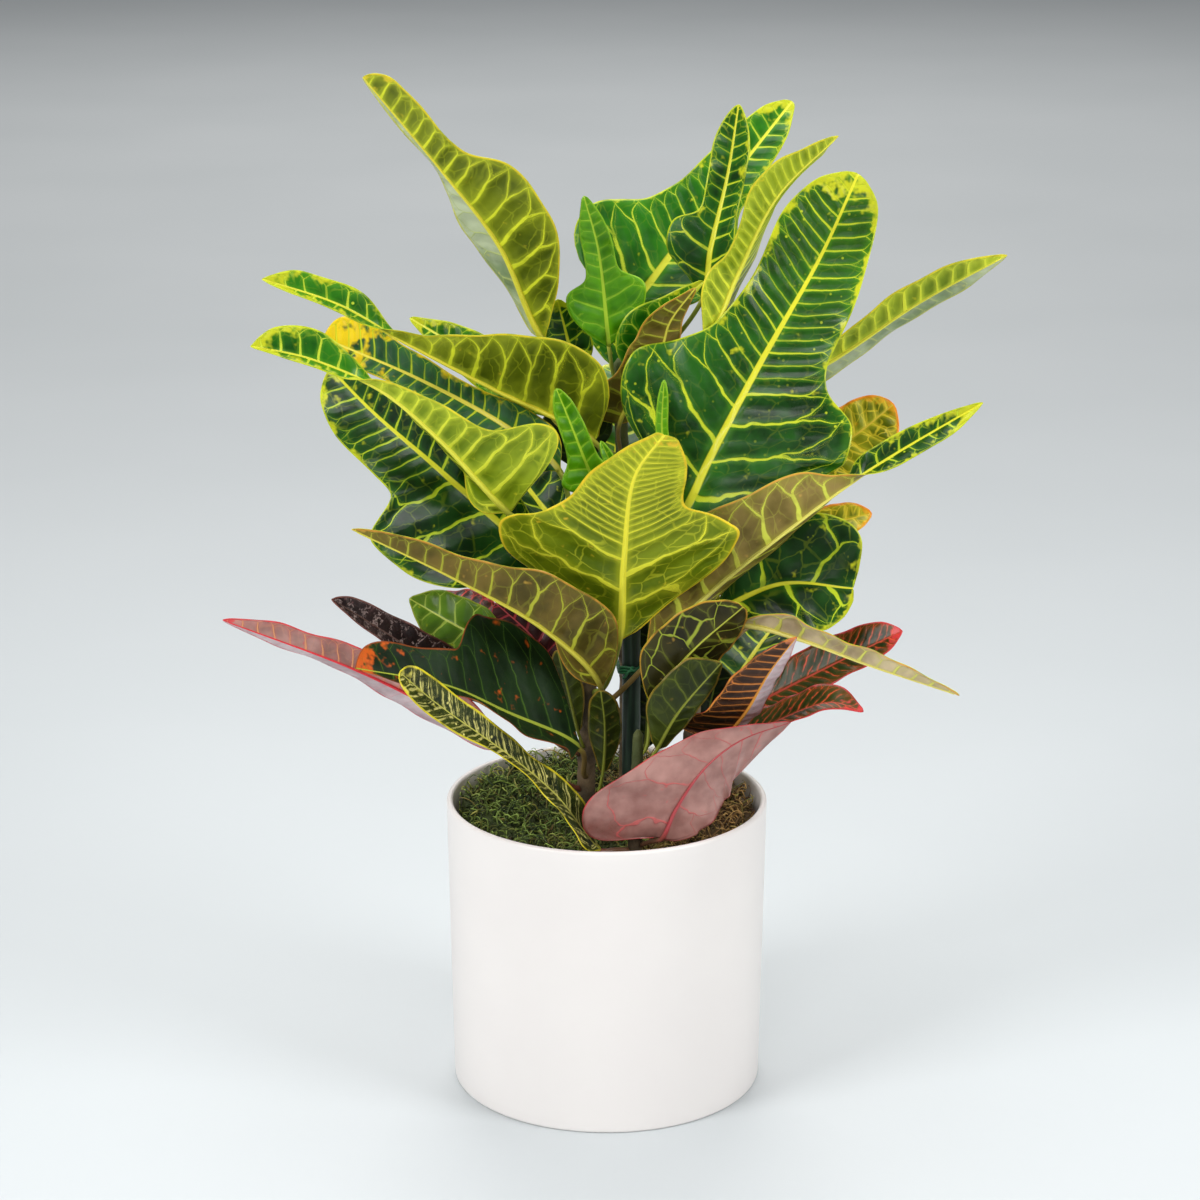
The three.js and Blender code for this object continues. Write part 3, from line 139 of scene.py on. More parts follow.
# One row a leaf. stem and z: where the petiole leaves its stem. looks: of its upper side and of its
# underside. spacing: how far the side veins stand apart in the lobes and above them. rib: the midrib
# from the foot of the blade to the tip. face: where the upper side looks, and where the blade
# twists also at the tip. fold: how far each half is turned up, in degrees. wave: height of the
# margin's wave, and the number of waves. right and left: the half widths as words, each of them
# percent of the length:millimetres, seen on the upper side with the tip up, and right for both
# where left isn't there. slant: how many millimetres the side veins lean further to the tip for
# each one outwards. lean: how far the margins do. twist: between which shares the face turns.
LEAVES = {
    "crown_tall": leaf("tall", 348, ("rich", "olive"), (14, 8),
        ((-30, 8, 378), (-51, -8, 427), (-77, -28, 466), (-111, -45, 511)), (0.3, 0.88, 0.35), (15, 6),
        (2, 2), "15:8 30:15 42:13 54:8 64:4 85:3", "12:20 34:32 50:29 63:15 78:14 92:12 100:3"),
    "crown_young": leaf("tall", 356, ("young", "lime"), (9, 6),
        ((1, 13, 374), (-4, 10, 421), (-11, 2, 449)), (0.1, -0.9, 0.3), (18, 12), (1, 2),
        "16:20 30:21 44:8 70:7 90:4", "14:19 26:20 40:8 70:8 90:4"),
    "crown_back": leaf("tall", 352, ("rich", "olive"), (15, 8),
        ((9, 38, 381), (26, 48, 405), (67, 72, 453), (92, 88, 482)), (-0.1, -0.85, 0.5), (15, 8), (2, 1.5),
        "12:30 35:26 52:15 80:12 100:2", "3:42 10:48 20:41 34:26 52:18 70:15 88:11 100:2"),
    "crown_upright": leaf("tall", 355, ("plain", "olive"), (12, 6),
        ((46, 14, 397), (50, 16, 421), (58, 22, 456), (63, 26, 489)), (-0.15, -0.95, 0.1), (40, 6), (1, 2),
        "15:17 40:12 72:12 90:7", "14:21 27:22 40:9 72:10 90:6"),
    "crown_diagonal": leaf("tall", 346, ("rich", "lime"), (6.5, 5.5),
        ((47, 4, 377), (62, 4, 410), (80, -16, 452), (106, -36, 483)), (-0.3, 0.85, 0.3), (5, 48), (1.5, 2),
        "15:15 40:10 68:14 86:9", "15:19 40:17 60:22 86:11", slant=0.3),
    "great_right": leaf("tall", 268, ("deep", "olive"), (20, 7),
        ((36, -18, 298), (50, -13, 326), (73, -2, 368), (103, 16, 418), (121, 30, 455)), (-0.1, -0.95, 0.3),
        (8, 10), (3, 2), "6:42 16:60 28:55 38:35 46:29 60:27 75:22 90:16 100:2",
        "6:44 18:57 31:40 42:28 56:24 74:27 90:18 100:3"),
    "far_right": leaf("tall", 296, ("deep", "lime"), (12, 9),
        ((66, 50, 334), (112, 58, 357), (156, 62, 386), (198, 60, 410)), (-0.35, 0.9, 0.25), (5, 20), (1, 2),
        "20:15 35:10 55:12 80:11", "20:12 50:10 80:9"),
    "edge_yellow": leaf("right", 258, ("goldedge", "olive"), (8, 7),
        ((82, 22, 302), (122, 28, 326), (141, 28, 342)), (0, -0.8, 0.5), (10, 10), (1, 1), "30:20 70:18 92:8",
        "30:18 70:15 92:8"),
    "edge_small": leaf("right", 250, ("goldedge", "olive"), (8, 7),
        ((87, -2, 279), (108, 0, 288), (129, 0, 294)), (0, -0.7, 0.7), (15, 15), (0, 1), "30:12 75:9",
        "30:10 75:8"),
    "crown_folded": leaf("tall", 340, ("rich", "olive"), (9, 6),
        ((12, 10, 361), (20, 10, 381), (32, 8, 394), (46, 3, 408)), (0.1, -0.9, 0.3), (20, 20), (0, 1),
        "20:8 50:6", "10:14 30:15 55:9 80:5"),
    "crown_bronze": leaf("tall", 318, ("rich", "bronze"), (10, 7),
        ((6, 4, 338), (26, 2, 375), (30, -2, 389), (42, -8, 407)), (-0.1, 0.9, 0.4), (5, 20), (0, 1),
        "0:12 5:44 12:34 20:16 28:13 45:15 65:13 85:6", "10:10 25:11 40:9 60:9 85:5", lean=-0.1),
    "front_fiddle": leaf("left", 208, ("rich", "fiddle"), (21, 3.8),
        ((6, -32, 239), (8, -52, 285), (13, -70, 331), (26, -78, 352)), (0, 0.9, 0.4), (6, 6), (2, 2),
        "10:26 22:56 34:60 46:40 56:28 70:20 88:9 100:3", "10:22 22:50 34:55 46:40 56:26 70:25 88:18 100:5"),
    "front_left_low": leaf("left", 190, ("dark", "bronze"), (16, 9),
        ((-3, -34, 216), (-29, -58, 252), (-71, -80, 284), (-117, -92, 311)), (-0.2, 0.75, 0.6), (62, 12),
        (1, 2), "0:4 15:24 40:22 60:14 82:10", "0:4 15:28 36:26 58:15 82:10"),
    "long_right": leaf("left", 200, ("dark", "tan"), (19, 11),
        ((20, -29, 227), (44, -33, 258), (86, -42, 297), (125, -42, 327), (177, -34, 357)),
        ((0.1, 0.85, 0.5), (0, -0.6, 0.8)), (10, 50), (1, 2),
        "0:4 12:20 27:33 42:27 54:20 62:8 67:6 72:7 86:8", "0:4 14:22 32:26 48:20 62:10 82:8",
        twist=(0.56, 0.76)),
    "dark_right": leaf("right", 244, ("dark", "olive"), (25, 21),
        ((54, -9, 247), (85, -13, 262), (119, -21, 262)), (0, -0.85, 0.5), (8, 20), (1, 1),
        "30:23 62:25 88:16 100:4", "30:28 62:34 86:26 97:13 100:4"),
    "great_left": leaf("left", 250, ("dark", "olive"), (22, 7),
        ((-30, -13, 270), (-79, -28, 322), (-111, -34, 353), (-130, -36, 374)), (0.1, -0.85, 0.5), (25, 6),
        (2, 2), "15:14 28:18 44:18 60:13 80:13",
        "5:30 14:44 25:50 36:51 46:49 50:27 58:24 79:21 91:15 100:2"),
    "twist_left": leaf("left", 276, ("rich", "lime"), (15, 9),
        ((-46, -40, 305), (-78, -62, 346), (-104, -74, 372), (-135, -80, 388), (-162, -80, 394)),
        ((-0.1, 0.8, 0.55), (0.1, -0.5, 0.85)), (55, 8), (1, 2), "0:4 8:18 25:16 50:8 66:5 80:14 92:12",
        "0:8 4:40 10:46 17:42 25:22 37:16 50:10 64:5 84:5", lean=0.22, twist=(0.56, 0.76)),
    "twist_upper_left": leaf("tall", 310, ("rich", "olive"), (15, 10),
        ((-6, -2, 331), (-55, -28, 363), (-96, -48, 390), (-123, -56, 408), (-158, -60, 421)),
        ((-0.1, 0.8, 0.55), (0.1, -0.5, 0.85)), (55, 8), (1, 2), "0:4 10:12 30:10 50:6 65:5 76:10 88:10",
        "0:10 7:38 18:40 34:30 46:18 58:7 74:5 88:5", twist=(0.56, 0.76)),
    "yellow_tip": leaf("left", 290, ("tipyellow", "olive"), (12, 6.5),
        ((-23, -14, 319), (-46, -18, 340), (-89, -24, 366), (-134, -28, 387)), (0.1, -0.8, 0.6), (20, 15),
        (1, 2), "0:4 7:13 20:13 30:11 42:9 66:11 84:16 94:12", "0:4 8:25 22:23 34:13 68:9 88:8"),
    "peek_left": leaf("tall", 318, ("rich", "olive"), (8, 7),
        ((-23, 34, 335), (-62, 34, 362), (-96, 28, 385)), (0, -0.8, 0.6), (12, 12), (1, 1), "25:14 65:11"),
    "crown_shadow": leaf("tall", 336, ("dark", "olive"), (9, 7),
        ((-14, 18, 353), (-19, 18, 376), (-24, 14, 397)), (0.1, -0.9, 0.3), (15, 15), (0, 1), "30:12 65:10"),
    "shoot": leaf("left", 290, ("young", "lime"), (9, 7),
        ((-3, -25, 307), (-10, -27, 326), (-17, -29, 345), (-24, -30, 363)), (0.1, -0.95, 0.2), (22, 15),
        (0, 1), "0:2 15:11 30:7 60:6.5 85:5", "0:2 8:14 18:17 32:9 50:7 80:6"),
    "bud": leaf("left", 300, ("young", "lime"), (5, 5),
        ((6, -27, 311), (3, -31, 324), (-3, -32, 338)), (0, -1, 0.1), (35, 35), (0, 1),
        "0:2 40:4 80:3 100:0.8"),
    "needle": leaf("left", 288, ("young", "lime"), (5, 5),
        ((27, -23, 320), (26, -24, 344), (27, -25, 366)), (0, -1, 0.1), (30, 30), (0, 1),
        "0:2 40:3.5 80:3 100:0.8"),
    "low_left_green": leaf("left", 205, ("moss_green", "olive"), (11, 8),
        ((-42, -20, 225), (-76, -28, 247), (-95, -32, 260)), (0, -0.7, 0.7), (15, 15), (1, 1), "35:15 70:13",
        "35:17 70:15"),
    "low_left_black": leaf("left", 176, ("blackpink", "mauve"), (9, 8),
        ((-42, -30, 200), (-80, -48, 230), (-107, -60, 253), (-129, -70, 271)), (0, -0.7, 0.7), (35, 35),
        (1, 2), "30:13 70:9 90:7", "30:13 70:9 90:6"),
    "low_left_great": leaf("left", 165, ("forest", "bronze"), (14, 9),
        ((-13, -42, 188), (-48, -66, 214), (-75, -84, 233), (-116, -104, 248)), (0.1, -0.65, 0.75), (8, 40),
        (2, 2), "4:28 10:40 25:47 38:45 48:36 56:19 70:16 84:17 93:12", "10:22 30:25 52:14 72:12 88:8"),
    "folded_variegated": leaf("front", 139, ("strokes", "mauve"), (5, 4.2),
        ((-3, -62, 143), (-24, -70, 173), (-44, -82, 196), (-80, -104, 232), (-95, -113, 249)),
        ((0.75, -0.35, 0.55), (0.2, -0.75, 0.6)), (25, 20), (1, 2), "15:10 40:8 60:8 82:9 94:8 100:3",
        "8:15 20:15 36:8 52:6 80:9 94:8 100:3", slant=0.7, twist=(0.3, 0.75)),
    "long_left": leaf("left", 158, ("redblack", "rose"), (9, 8),
        ((-51, -50, 189), (-80, -60, 213), (-118, -69, 236), (-179, -80, 264)), (-0.1, 0.8, 0.6), (15, 8),
        (1, 2), "20:14 50:9 80:6", "20:16 50:13 80:11"),
    "rim_mauve": leaf("front", 142, ("redblack", "mauve"), (21, 12),
        ((26, -60, 148), (33, -62, 164), (47, -62, 185), (64, -60, 198), (88, -54, 205)), (-0.2, 0.85, 0.4),
        (6, 10), (2, 2), "0:10 5:29 12:38 22:43 34:40 46:28 60:18 74:10",
        "10:16 30:25 50:33 70:35 86:26 100:2", lean=-0.45),
    "orange_veined": leaf("front", 172, ("redblack", "ember"), (7, 5.5),
        ((53, -40, 190), (65, -53, 208), (77, -72, 237), (88, -84, 257)), (-0.3, 0.85, 0.35), (10, 25),
        (1, 2), "0:8 10:26 35:20 70:14 90:8", "0:4 20:14 50:13 80:9", lean=-0.3),
    "red_lower": leaf("right", 156, ("redstreak", "mauve"), (5, 4.5),
        ((50, -28, 181), (78, -38, 198), (107, -46, 212), (123, -50, 209)), (-0.1, -0.35, 0.93), (15, 15),
        (1, 1), "30:10 70:8", "30:12 70:12", slant=0.5),
    "red_upper": leaf("right", 172, ("redstreak", "mauve"), (5, 4.5),
        ((56, -12, 190), (76, -16, 203), (113, -22, 225), (143, -26, 242)), (-0.1, -0.6, 0.8), (15, 15),
        (1, 2), "25:12 60:13 85:10", "25:12 60:14 85:11", slant=0.5),
    "olive_pointer": leaf("right", 228, ("rich", "clay"), (13, 9),
        ((66, -44, 251), (91, -64, 250), (123, -84, 243), (163, -98, 233)), (0.1, 0.75, 0.65), (10, 55),
        (1, 2), "20:15 50:11 80:7", "20:13 50:10 80:7"),
    "front_cells": leaf("front", 188, ("dark", "cells"), (15, 12),
        ((22, -52, 213), (39, -60, 241), (64, -62, 265)), (-0.1, 0.9, 0.4), (10, 15), (1, 1),
        "25:20 60:19 88:10 100:2", "25:18 60:17 88:10 100:2"),
    "front_low": leaf("front", 180, ("dark", "shade_under"), (9, 7),
        ((24, -56, 192), (34, -63, 213), (54, -64, 238)), (0, 0.9, 0.4), (15, 15), (0, 1), "30:16 70:15",
        "30:9 70:8"),
    # The inner leaves fill the plant's dark middle; their shade looks paint the shade that falls there
    "inner_narrow": leaf("left", 180, ("shade", "shade_under"), (8, 7),
        ((-14, -25, 190), (-19, -27, 212), (-24, -28, 233)), (0, 0.9, 0.4), (20, 20), (0, 1),
        "0:2 40:8 80:6"),
    "inner_dark": leaf("left", 150, ("shade", "shade_under"), (8, 7),
        ((-2, -34, 172), (-1, -40, 198), (-3, -45, 218)), (0, 0.9, 0.4), (20, 20), (0, 1), "0:2 40:9 80:7"),
    "inner_left": leaf("tall", 302, ("shade", "shade_under"), (8, 7),
        ((-9, 16, 312), (-14, 15, 330), (-18, 14, 348)), (0, -0.95, 0.2), (8, 8), (0, 1), "30:18 70:15"),
    "inner_middle": leaf("tall", 180, ("shade", "shade_under"), (8, 7),
        ((19, 26, 164), (21, 27, 198), (21, 27, 240)), (0, -0.95, 0.2), (10, 10), (0, 1), "25:19 70:18",
        "0:2 25:7 45:6 75:16"),
    "inner_right": leaf("right", 150, ("shade", "shade_under"), (8, 7),
        ((49, 4, 180), (52, 5.5, 196), (56, 6.5, 214)), (0, -0.95, 0.2), (12, 12), (0, 1), "30:13 70:11",
        "16:13 50:14 75:11"),
    "maroon_left": leaf("left", 196, ("maroon", "mauve"), (8, 7),
        ((-26, -2, 210), (-36, 2, 229), (-55, 8, 246)), (0.1, -0.8, 0.6), (15, 15), (0, 1), "35:16 75:13"),
    "back_high": leaf("tall", 340, ("rich", "olive"), (13, 7),
        ((8, 50, 352), (20, 84, 392), (38, 106, 420)), (0, -0.7, 0.7), (15, 15), (2, 2),
        "12:26 34:24 52:13 80:13"),
    "back_right_high": leaf("tall", 312, ("deep", "olive"), (13, 7),
        ((34, 46, 322), (66, 84, 358), (88, 112, 376)), (-0.3, -0.4, 0.85), (15, 15), (2, 2),
        "12:24 34:22 52:13 80:12"),
    "back_middle": leaf("tall", 276, ("deep", "olive"), (15, 8),
        ((4, 50, 290), (8, 100, 326), (10, 136, 340)), (0, -0.5, 0.85), (12, 12), (2, 2),
        "12:30 34:27 52:15 80:14"),
    # back_left_high takes the dark look as painted shade, where the stems' shadows fall
    "back_left_high": leaf("tall", 262, ("dark", "bronze"), (13, 7),
        ((-24, 44, 276), (-60, 80, 310), (-88, 104, 322)), (0.3, -0.4, 0.85), (15, 15), (2, 2),
        "14:22 34:21 52:12 80:12"),
    "back_left": leaf("left", 240, ("dark", "bronze"), (13, 7),
        ((-38, 16, 252), (-78, 38, 284), (-108, 52, 296)), (0.4, -0.3, 0.85), (15, 15), (2, 2),
        "14:22 34:20 52:12 80:12"),
    "back_right": leaf("right", 214, ("goldedge", "bronze"), (12, 7),
        ((74, 24, 232), (104, 50, 256), (126, 68, 262)), (-0.4, -0.3, 0.85), (15, 15), (2, 2),
        "14:24 34:22 52:13 80:12"),
    "back_low_middle": leaf("tall", 196, ("forest", "bronze"), (15, 8),
        ((6, 52, 212), (4, 100, 238), (0, 134, 240)), (0, -0.3, 0.95), (12, 12), (2, 2),
        "12:30 34:27 52:15 80:14"),
    "back_low_left": leaf("left", 186, ("redblack", "mauve"), (12, 7),
        ((-34, 24, 202), (-70, 64, 226), (-94, 92, 226)), (0.2, -0.2, 0.95), (15, 15), (2, 2),
        "14:22 34:20 52:12 80:12"),
    "back_low_right": leaf("right", 168, ("dark", "shade_under"), (12, 7),
        ((62, 36, 190), (88, 76, 214), (106, 104, 216)), (-0.2, -0.2, 0.95), (15, 15), (2, 2),
        "14:22 34:20 52:12 80:12"),
}

# Undersides of which one half is painted paler than the other, as painted sheen: the reflection that this
# half catches when seen at a grazing angle. Which half, and its look
SHEEN_HALVES = {
    "crown_tall": ("right", "silver_sheen"),
    "far_right": ("left", "silver_sheen"),
    "long_left": ("right", "lilac_sheen"),
    "orange_veined": ("left", "lilac_sheen"),
}

# What a croton's leaf shares, and what each kind changes. Colours are screen values.
# rib: half width of the midrib in millimetres. lateral: half width of a side vein, with the share
# of the spacing that it gains. glow: how far the light green spreads along a vein. net: cell size
# in millimetres and strength. tip: where the blotches start, as a share of the length, and how
# strong they are. specks: how many of the small spots show. furrow: height of a vein, sunk where
# negative. fork: where a side vein forks, as a share of the half width. wild: how broken it is.
# ripen: how much of the light green the blade takes on to the tip. puff: how far it swells between the side
# veins. The petiole's colour, darker than the rib's, is partly its own green or brown and partly painted
# shade.
BASE_LOOK = dict(
    blade=((12, 46, 8), (34, 94, 18)), glow_color=(76, 148, 24), glow=0.42, vein=(206, 218, 46),
    vein_strength=0.94, rib_color=(226, 222, 52), rib=2.2, lateral=(0.16, 0.036), net=(8, 0.06), net_even=0.2,
    margin=(200, 212, 40), margin_width=0.6, blotch=(206, 208, 36), tip=(0.8, 0.7), edge_blotch=0.55,
    specks=0.6, roughness=0.33, coat=0.2, furrow=-0.3, fork=0.56, wild=0.0, stalk=(142, 150, 58), ripen=0.0,
    puff=1.0,
)
UNDERSIDE = dict(
    rib=1.4, lateral=(0.12, 0.03), margin_width=0.8, edge_blotch=0.05, specks=0, roughness=0.42, coat=0.12,
    furrow=0.35, tip=(0.92, 0.3),
)
UPPER_LOOKS = {
    "deep": dict(
        ripen=0.2, glow_color=(92, 158, 32), edge_blotch=0.8, specks=1.3, coat=0.3, roughness=0.28,
    ),
    "plain": dict(
        tip=(0.9, 0.25), specks=0.2,
    ),
    "young": dict(
        blade=((42, 108, 2), (88, 156, 4)), glow_color=(124, 188, 22), glow=0.45, vein=(164, 208, 50),
        vein_strength=0.7, rib_color=(178, 212, 54), rib=1.5, margin=(146, 196, 40), tip=(1, 0),
        edge_blotch=0, specks=0, net=(7, 0.1), blotch=(160, 200, 40),
    ),
    "rich": dict(
        blade=((18, 74, 8), (46, 122, 14)), glow_color=(104, 172, 30), vein=(208, 224, 60),
        rib_color=(226, 226, 66), specks=0.35,
    ),
    "moss_green": dict(
        blade=((56, 92, 18), (92, 130, 32)), glow_color=(122, 156, 42), vein=(172, 196, 78), rib=1.6,
        rib_color=(190, 204, 84), margin=(150, 160, 50), tip=(0.9, 0.2), edge_blotch=0.1, specks=0,
    ),
    "dark": dict(
        blade=((8, 32, 8), (30, 74, 20)), glow_color=(64, 128, 26), vein=(196, 216, 44), net=(8, 0.12),
    ),
    # shade: near-black green, painted shade for leaves deep in the plant where little light reaches
    "shade": dict(
        blade=((10, 20, 9), (22, 38, 15)), glow_color=(34, 54, 18), glow=0.3, vein=(74, 92, 32),
        vein_strength=0.7, rib_color=(104, 116, 44), rib=1.2, margin=(84, 88, 34), blotch=(90, 92, 34),
        tip=(0.95, 0.1), edge_blotch=0.05, specks=0.1,
    ),
    "tipyellow": dict(
        blade=((22, 56, 34), (58, 98, 62)), blotch=(246, 210, 22), tip=(0.7, 1.5), rib_color=(240, 224, 84),
        margin=(232, 204, 40), rib=1.7,
    ),
    "blackpink": dict(
        blade=((16, 12, 12), (46, 34, 32)), glow_color=(90, 50, 50), glow=0.2, vein=(214, 188, 180),
        vein_strength=0.6, rib_color=(96, 70, 60), rib=1.1, margin=(120, 70, 60), blotch=(160, 110, 108),
        tip=(0.99, 0.1), edge_blotch=0.2, specks=0, wild=1.6, lateral=(0.36, 0.12), net=(7, 0.0),
    ),
    "forest": dict(
        blade=((10, 28, 10), (26, 50, 18)), glow_color=(42, 76, 22), glow=0.3, vein=(96, 134, 40),
        vein_strength=0.42, rib_color=(168, 180, 62), margin=(150, 74, 36), blotch=(218, 96, 26),
        tip=(0.76, 1.1), edge_blotch=0.12, specks=0.08, rib=1.4, lateral=(0.1, 0.016), net=(8, 0.02),
        roughness=0.46, coat=0.0, puff=0.25,
    ),
    "strokes": dict(
        blade=((16, 26, 9), (32, 46, 14)), glow_color=(110, 120, 26), glow=0.25, vein=(238, 228, 132),
        lateral=(0.35, 0.13), rib_color=(200, 196, 90), margin=(240, 222, 48), margin_width=0.8,
        blotch=(238, 226, 96), tip=(0.8, 0.5), edge_blotch=0.1, specks=0.8, wild=1.1, rib=0.6, net=(6, 0.0),
        fork=0.8,
    ),
    "redblack": dict(
        blade=((24, 24, 12), (46, 34, 18)), glow_color=(120, 40, 26), glow=0.3, vein=(214, 66, 56),
        vein_strength=0.85, rib_color=(196, 78, 62), margin=(200, 56, 62), blotch=(214, 58, 62),
        tip=(0.78, 0.9), edge_blotch=0.35, net=(7, 0.1), specks=0.1, rib=1.1, wild=0.6, lateral=(0.16, 0.06),
    ),
    "redstreak": dict(
        blade=((20, 38, 8), (54, 68, 16)), glow_color=(168, 84, 30), glow=0.34, vein=(238, 92, 54),
        vein_strength=0.92, rib_color=(196, 78, 62), margin=(210, 56, 62), blotch=(220, 58, 62),
        edge_blotch=0.3, net=(7, 0.04), specks=0.2, rib=1.0, wild=1.0, lateral=(0.14, 0.06),
        stalk=(128, 78, 54),
    ),
    "goldedge": dict(
        blade=((88, 102, 12), (162, 166, 34)), glow_color=(232, 214, 52), glow=0.75, vein=(240, 214, 56),
        rib_color=(238, 208, 66), margin=(248, 146, 28), margin_width=1.1, blotch=(246, 178, 36),
        tip=(0.76, 0.8), edge_blotch=0.5, net=(6, 0.7), specks=0.4, rib=1.3,
    ),
    "maroon": dict(
        blade=((34, 12, 14), (58, 22, 24)), glow_color=(110, 36, 42), glow=0.3, vein=(188, 62, 72),
        vein_strength=0.7, rib_color=(180, 74, 80), margin=(160, 52, 58), blotch=(170, 54, 58), rib=1.2,
        tip=(0.9, 0.3), edge_blotch=0.1, specks=0.1, net=(8, 0.1),
    ),
}
UNDER_LOOKS = {
    "olive": dict(
        blade=((72, 86, 6), (126, 138, 24)), glow_color=(192, 202, 44), glow=0.6, vein=(230, 236, 52),
        rib_color=(230, 220, 66), lateral=(0.19, 0.048), net=(9, 0.16), margin=(226, 202, 44),
        blotch=(224, 200, 46), tip=(0.86, 0.5), edge_blotch=0.12,
    ),
    "lime": dict(
        blade=((98, 124, 8), (154, 172, 32)), glow_color=(214, 226, 60), glow=0.6, vein=(234, 240, 64),
        rib_color=(236, 232, 80), lateral=(0.2, 0.055), net=(9, 0.2), margin=(240, 222, 54),
        blotch=(226, 214, 50), tip=(0.9, 0.4), edge_blotch=0.12,
    ),
    # fiddle: its bright yellow-green is partly its own colour and partly painted light, the glow of light
    # shining through the leaf
    "fiddle": dict(
        blade=((76, 98, 4), (122, 138, 16)), glow_color=(202, 206, 44), glow=0.6, vein=(240, 238, 60),
        rib_color=(246, 238, 70), rib=2.0, lateral=(0.17, 0.042), net=(8, 0.3), margin=(248, 212, 44),
        margin_width=1.1, blotch=(240, 198, 52), tip=(0.84, 0.6), edge_blotch=0.12, ripen=0.3,
    ),
    "tan": dict(
        blade=((96, 82, 28), (154, 132, 70)), glow_color=(178, 172, 58), glow=0.5, vein=(224, 228, 84),
        rib_color=(228, 220, 106), lateral=(0.18, 0.05), net=(9, 0.14), margin=(224, 160, 64),
        blotch=(200, 160, 80), stalk=(126, 104, 58),
    ),
    "clay": dict(
        blade=((152, 132, 98), (218, 198, 160)), glow_color=(202, 192, 112), glow=0.4, vein=(222, 222, 100),
        rib_color=(232, 222, 120), lateral=(0.16, 0.045), net=(9, 0.14), margin=(230, 160, 76),
        blotch=(206, 160, 100), stalk=(126, 104, 58),
    ),
    "bronze": dict(
        blade=((70, 62, 16), (122, 102, 42)), glow_color=(140, 134, 40), glow=0.4, vein=(192, 194, 58),
        rib_color=(214, 204, 74), lateral=(0.15, 0.042), net=(9, 0.18), margin=(206, 146, 54),
        blotch=(190, 150, 60), stalk=(126, 104, 58),
    ),
    # shade_under: dark olive, painted shade for undersides that lie in the plant's shadow
    "shade_under": dict(
        blade=((32, 40, 10), (60, 70, 16)), glow_color=(76, 88, 22), glow=0.3, vein=(112, 124, 36),
        vein_strength=0.5, rib_color=(132, 138, 48), net=(9, 0.1), margin=(142, 118, 40),
        blotch=(130, 110, 40), tip=(0.95, 0.1), edge_blotch=0.03,
    ),
    "cells": dict(
        blade=((28, 26, 8), (56, 52, 18)), glow_color=(104, 108, 34), glow=0.2, vein=(160, 172, 56),
        vein_strength=0.2, rib_color=(180, 184, 66), net=(15, 0.95), net_even=0.8, margin=(200, 150, 50),
        blotch=(190, 150, 60), tip=(0.94, 0.2), edge_blotch=0.03,
    ),
    "mauve": dict(
        blade=((136, 88, 80), (194, 145, 135)), glow_color=(196, 96, 94), glow=0.14, vein=(216, 92, 92),
        vein_strength=0.6, rib_color=(178, 72, 76), rib=0.6, lateral=(0.08, 0.017), net=(12, 0.03),
        margin=(206, 76, 80), margin_width=0.5, blotch=(222, 74, 78), edge_blotch=0.03, specks=0.12,
        roughness=0.28, coat=0.35, wild=0.3, stalk=(120, 84, 62), puff=0.5,
    ),
    "rose": dict(
        blade=((140, 98, 90), (204, 156, 146)), glow_color=(214, 92, 86), glow=0.3, vein=(232, 158, 110),
        rib_color=(226, 64, 72), rib=1.0, net=(8, 0.1), margin=(222, 66, 72), margin_width=0.6,
        blotch=(224, 70, 74), tip=(0.86, 0.6), edge_blotch=0.2, roughness=0.36, coat=0.1, stalk=(132, 80, 64),
    ),
    # lilac: the pink of an underside's paler half, lightened with painted sheen
    "lilac_sheen": dict(
        blade=((164, 138, 142), (222, 204, 206)), glow_color=(206, 150, 156), glow=0.1, vein=(206, 134, 140),
        vein_strength=0.35, rib_color=(210, 110, 110), rib=0.9, net=(9, 0.0), margin=(216, 96, 104),
        margin_width=0.6, blotch=(206, 160, 170), tip=(0.95, 0.1), edge_blotch=0.0, roughness=0.32, coat=0.15,
        stalk=(132, 84, 70),
    ),
    # silver: the green of an underside's paler half, greyed towards white with painted sheen, a reflection
    # painted into the colour
    "silver_sheen": dict(
        blade=((112, 134, 88), (192, 202, 166)), glow_color=(190, 204, 120), glow=0.2, vein=(200, 212, 120),
        vein_strength=0.6, rib_color=(226, 220, 90), net=(9, 0.05), margin=(206, 206, 90),
        blotch=(200, 200, 110), tip=(0.95, 0.1), edge_blotch=0.12, roughness=0.3, coat=0.2,
    ),
    "ember": dict(
        blade=((32, 18, 11), (62, 38, 24)), glow_color=(126, 74, 34), glow=0.28, vein=(228, 138, 60),
        rib_color=(226, 156, 66), rib=1.2, lateral=(0.2, 0.05), net=(6, 0.06), margin=(236, 152, 58),
        blotch=(222, 130, 96), tip=(0.84, 0.7), edge_blotch=0.12,
    ),
}
LOOKS = {kind: BASE_LOOK | look for kind, look in UPPER_LOOKS.items()}
LOOKS |= {kind: BASE_LOOK | UNDERSIDE | look for kind, look in UNDER_LOOKS.items()}

rng = np.random.default_rng(SEED)


def linear(color):
    """A screen colour, 0 to 255, as Blender's linear one."""
    s = np.asarray(color, float) / 255
    low = s / 12.92
    high = ((s + 0.055) / 1.055) ** 2.4
    return (*np.where(s <= 0.04045, low, high), 1)


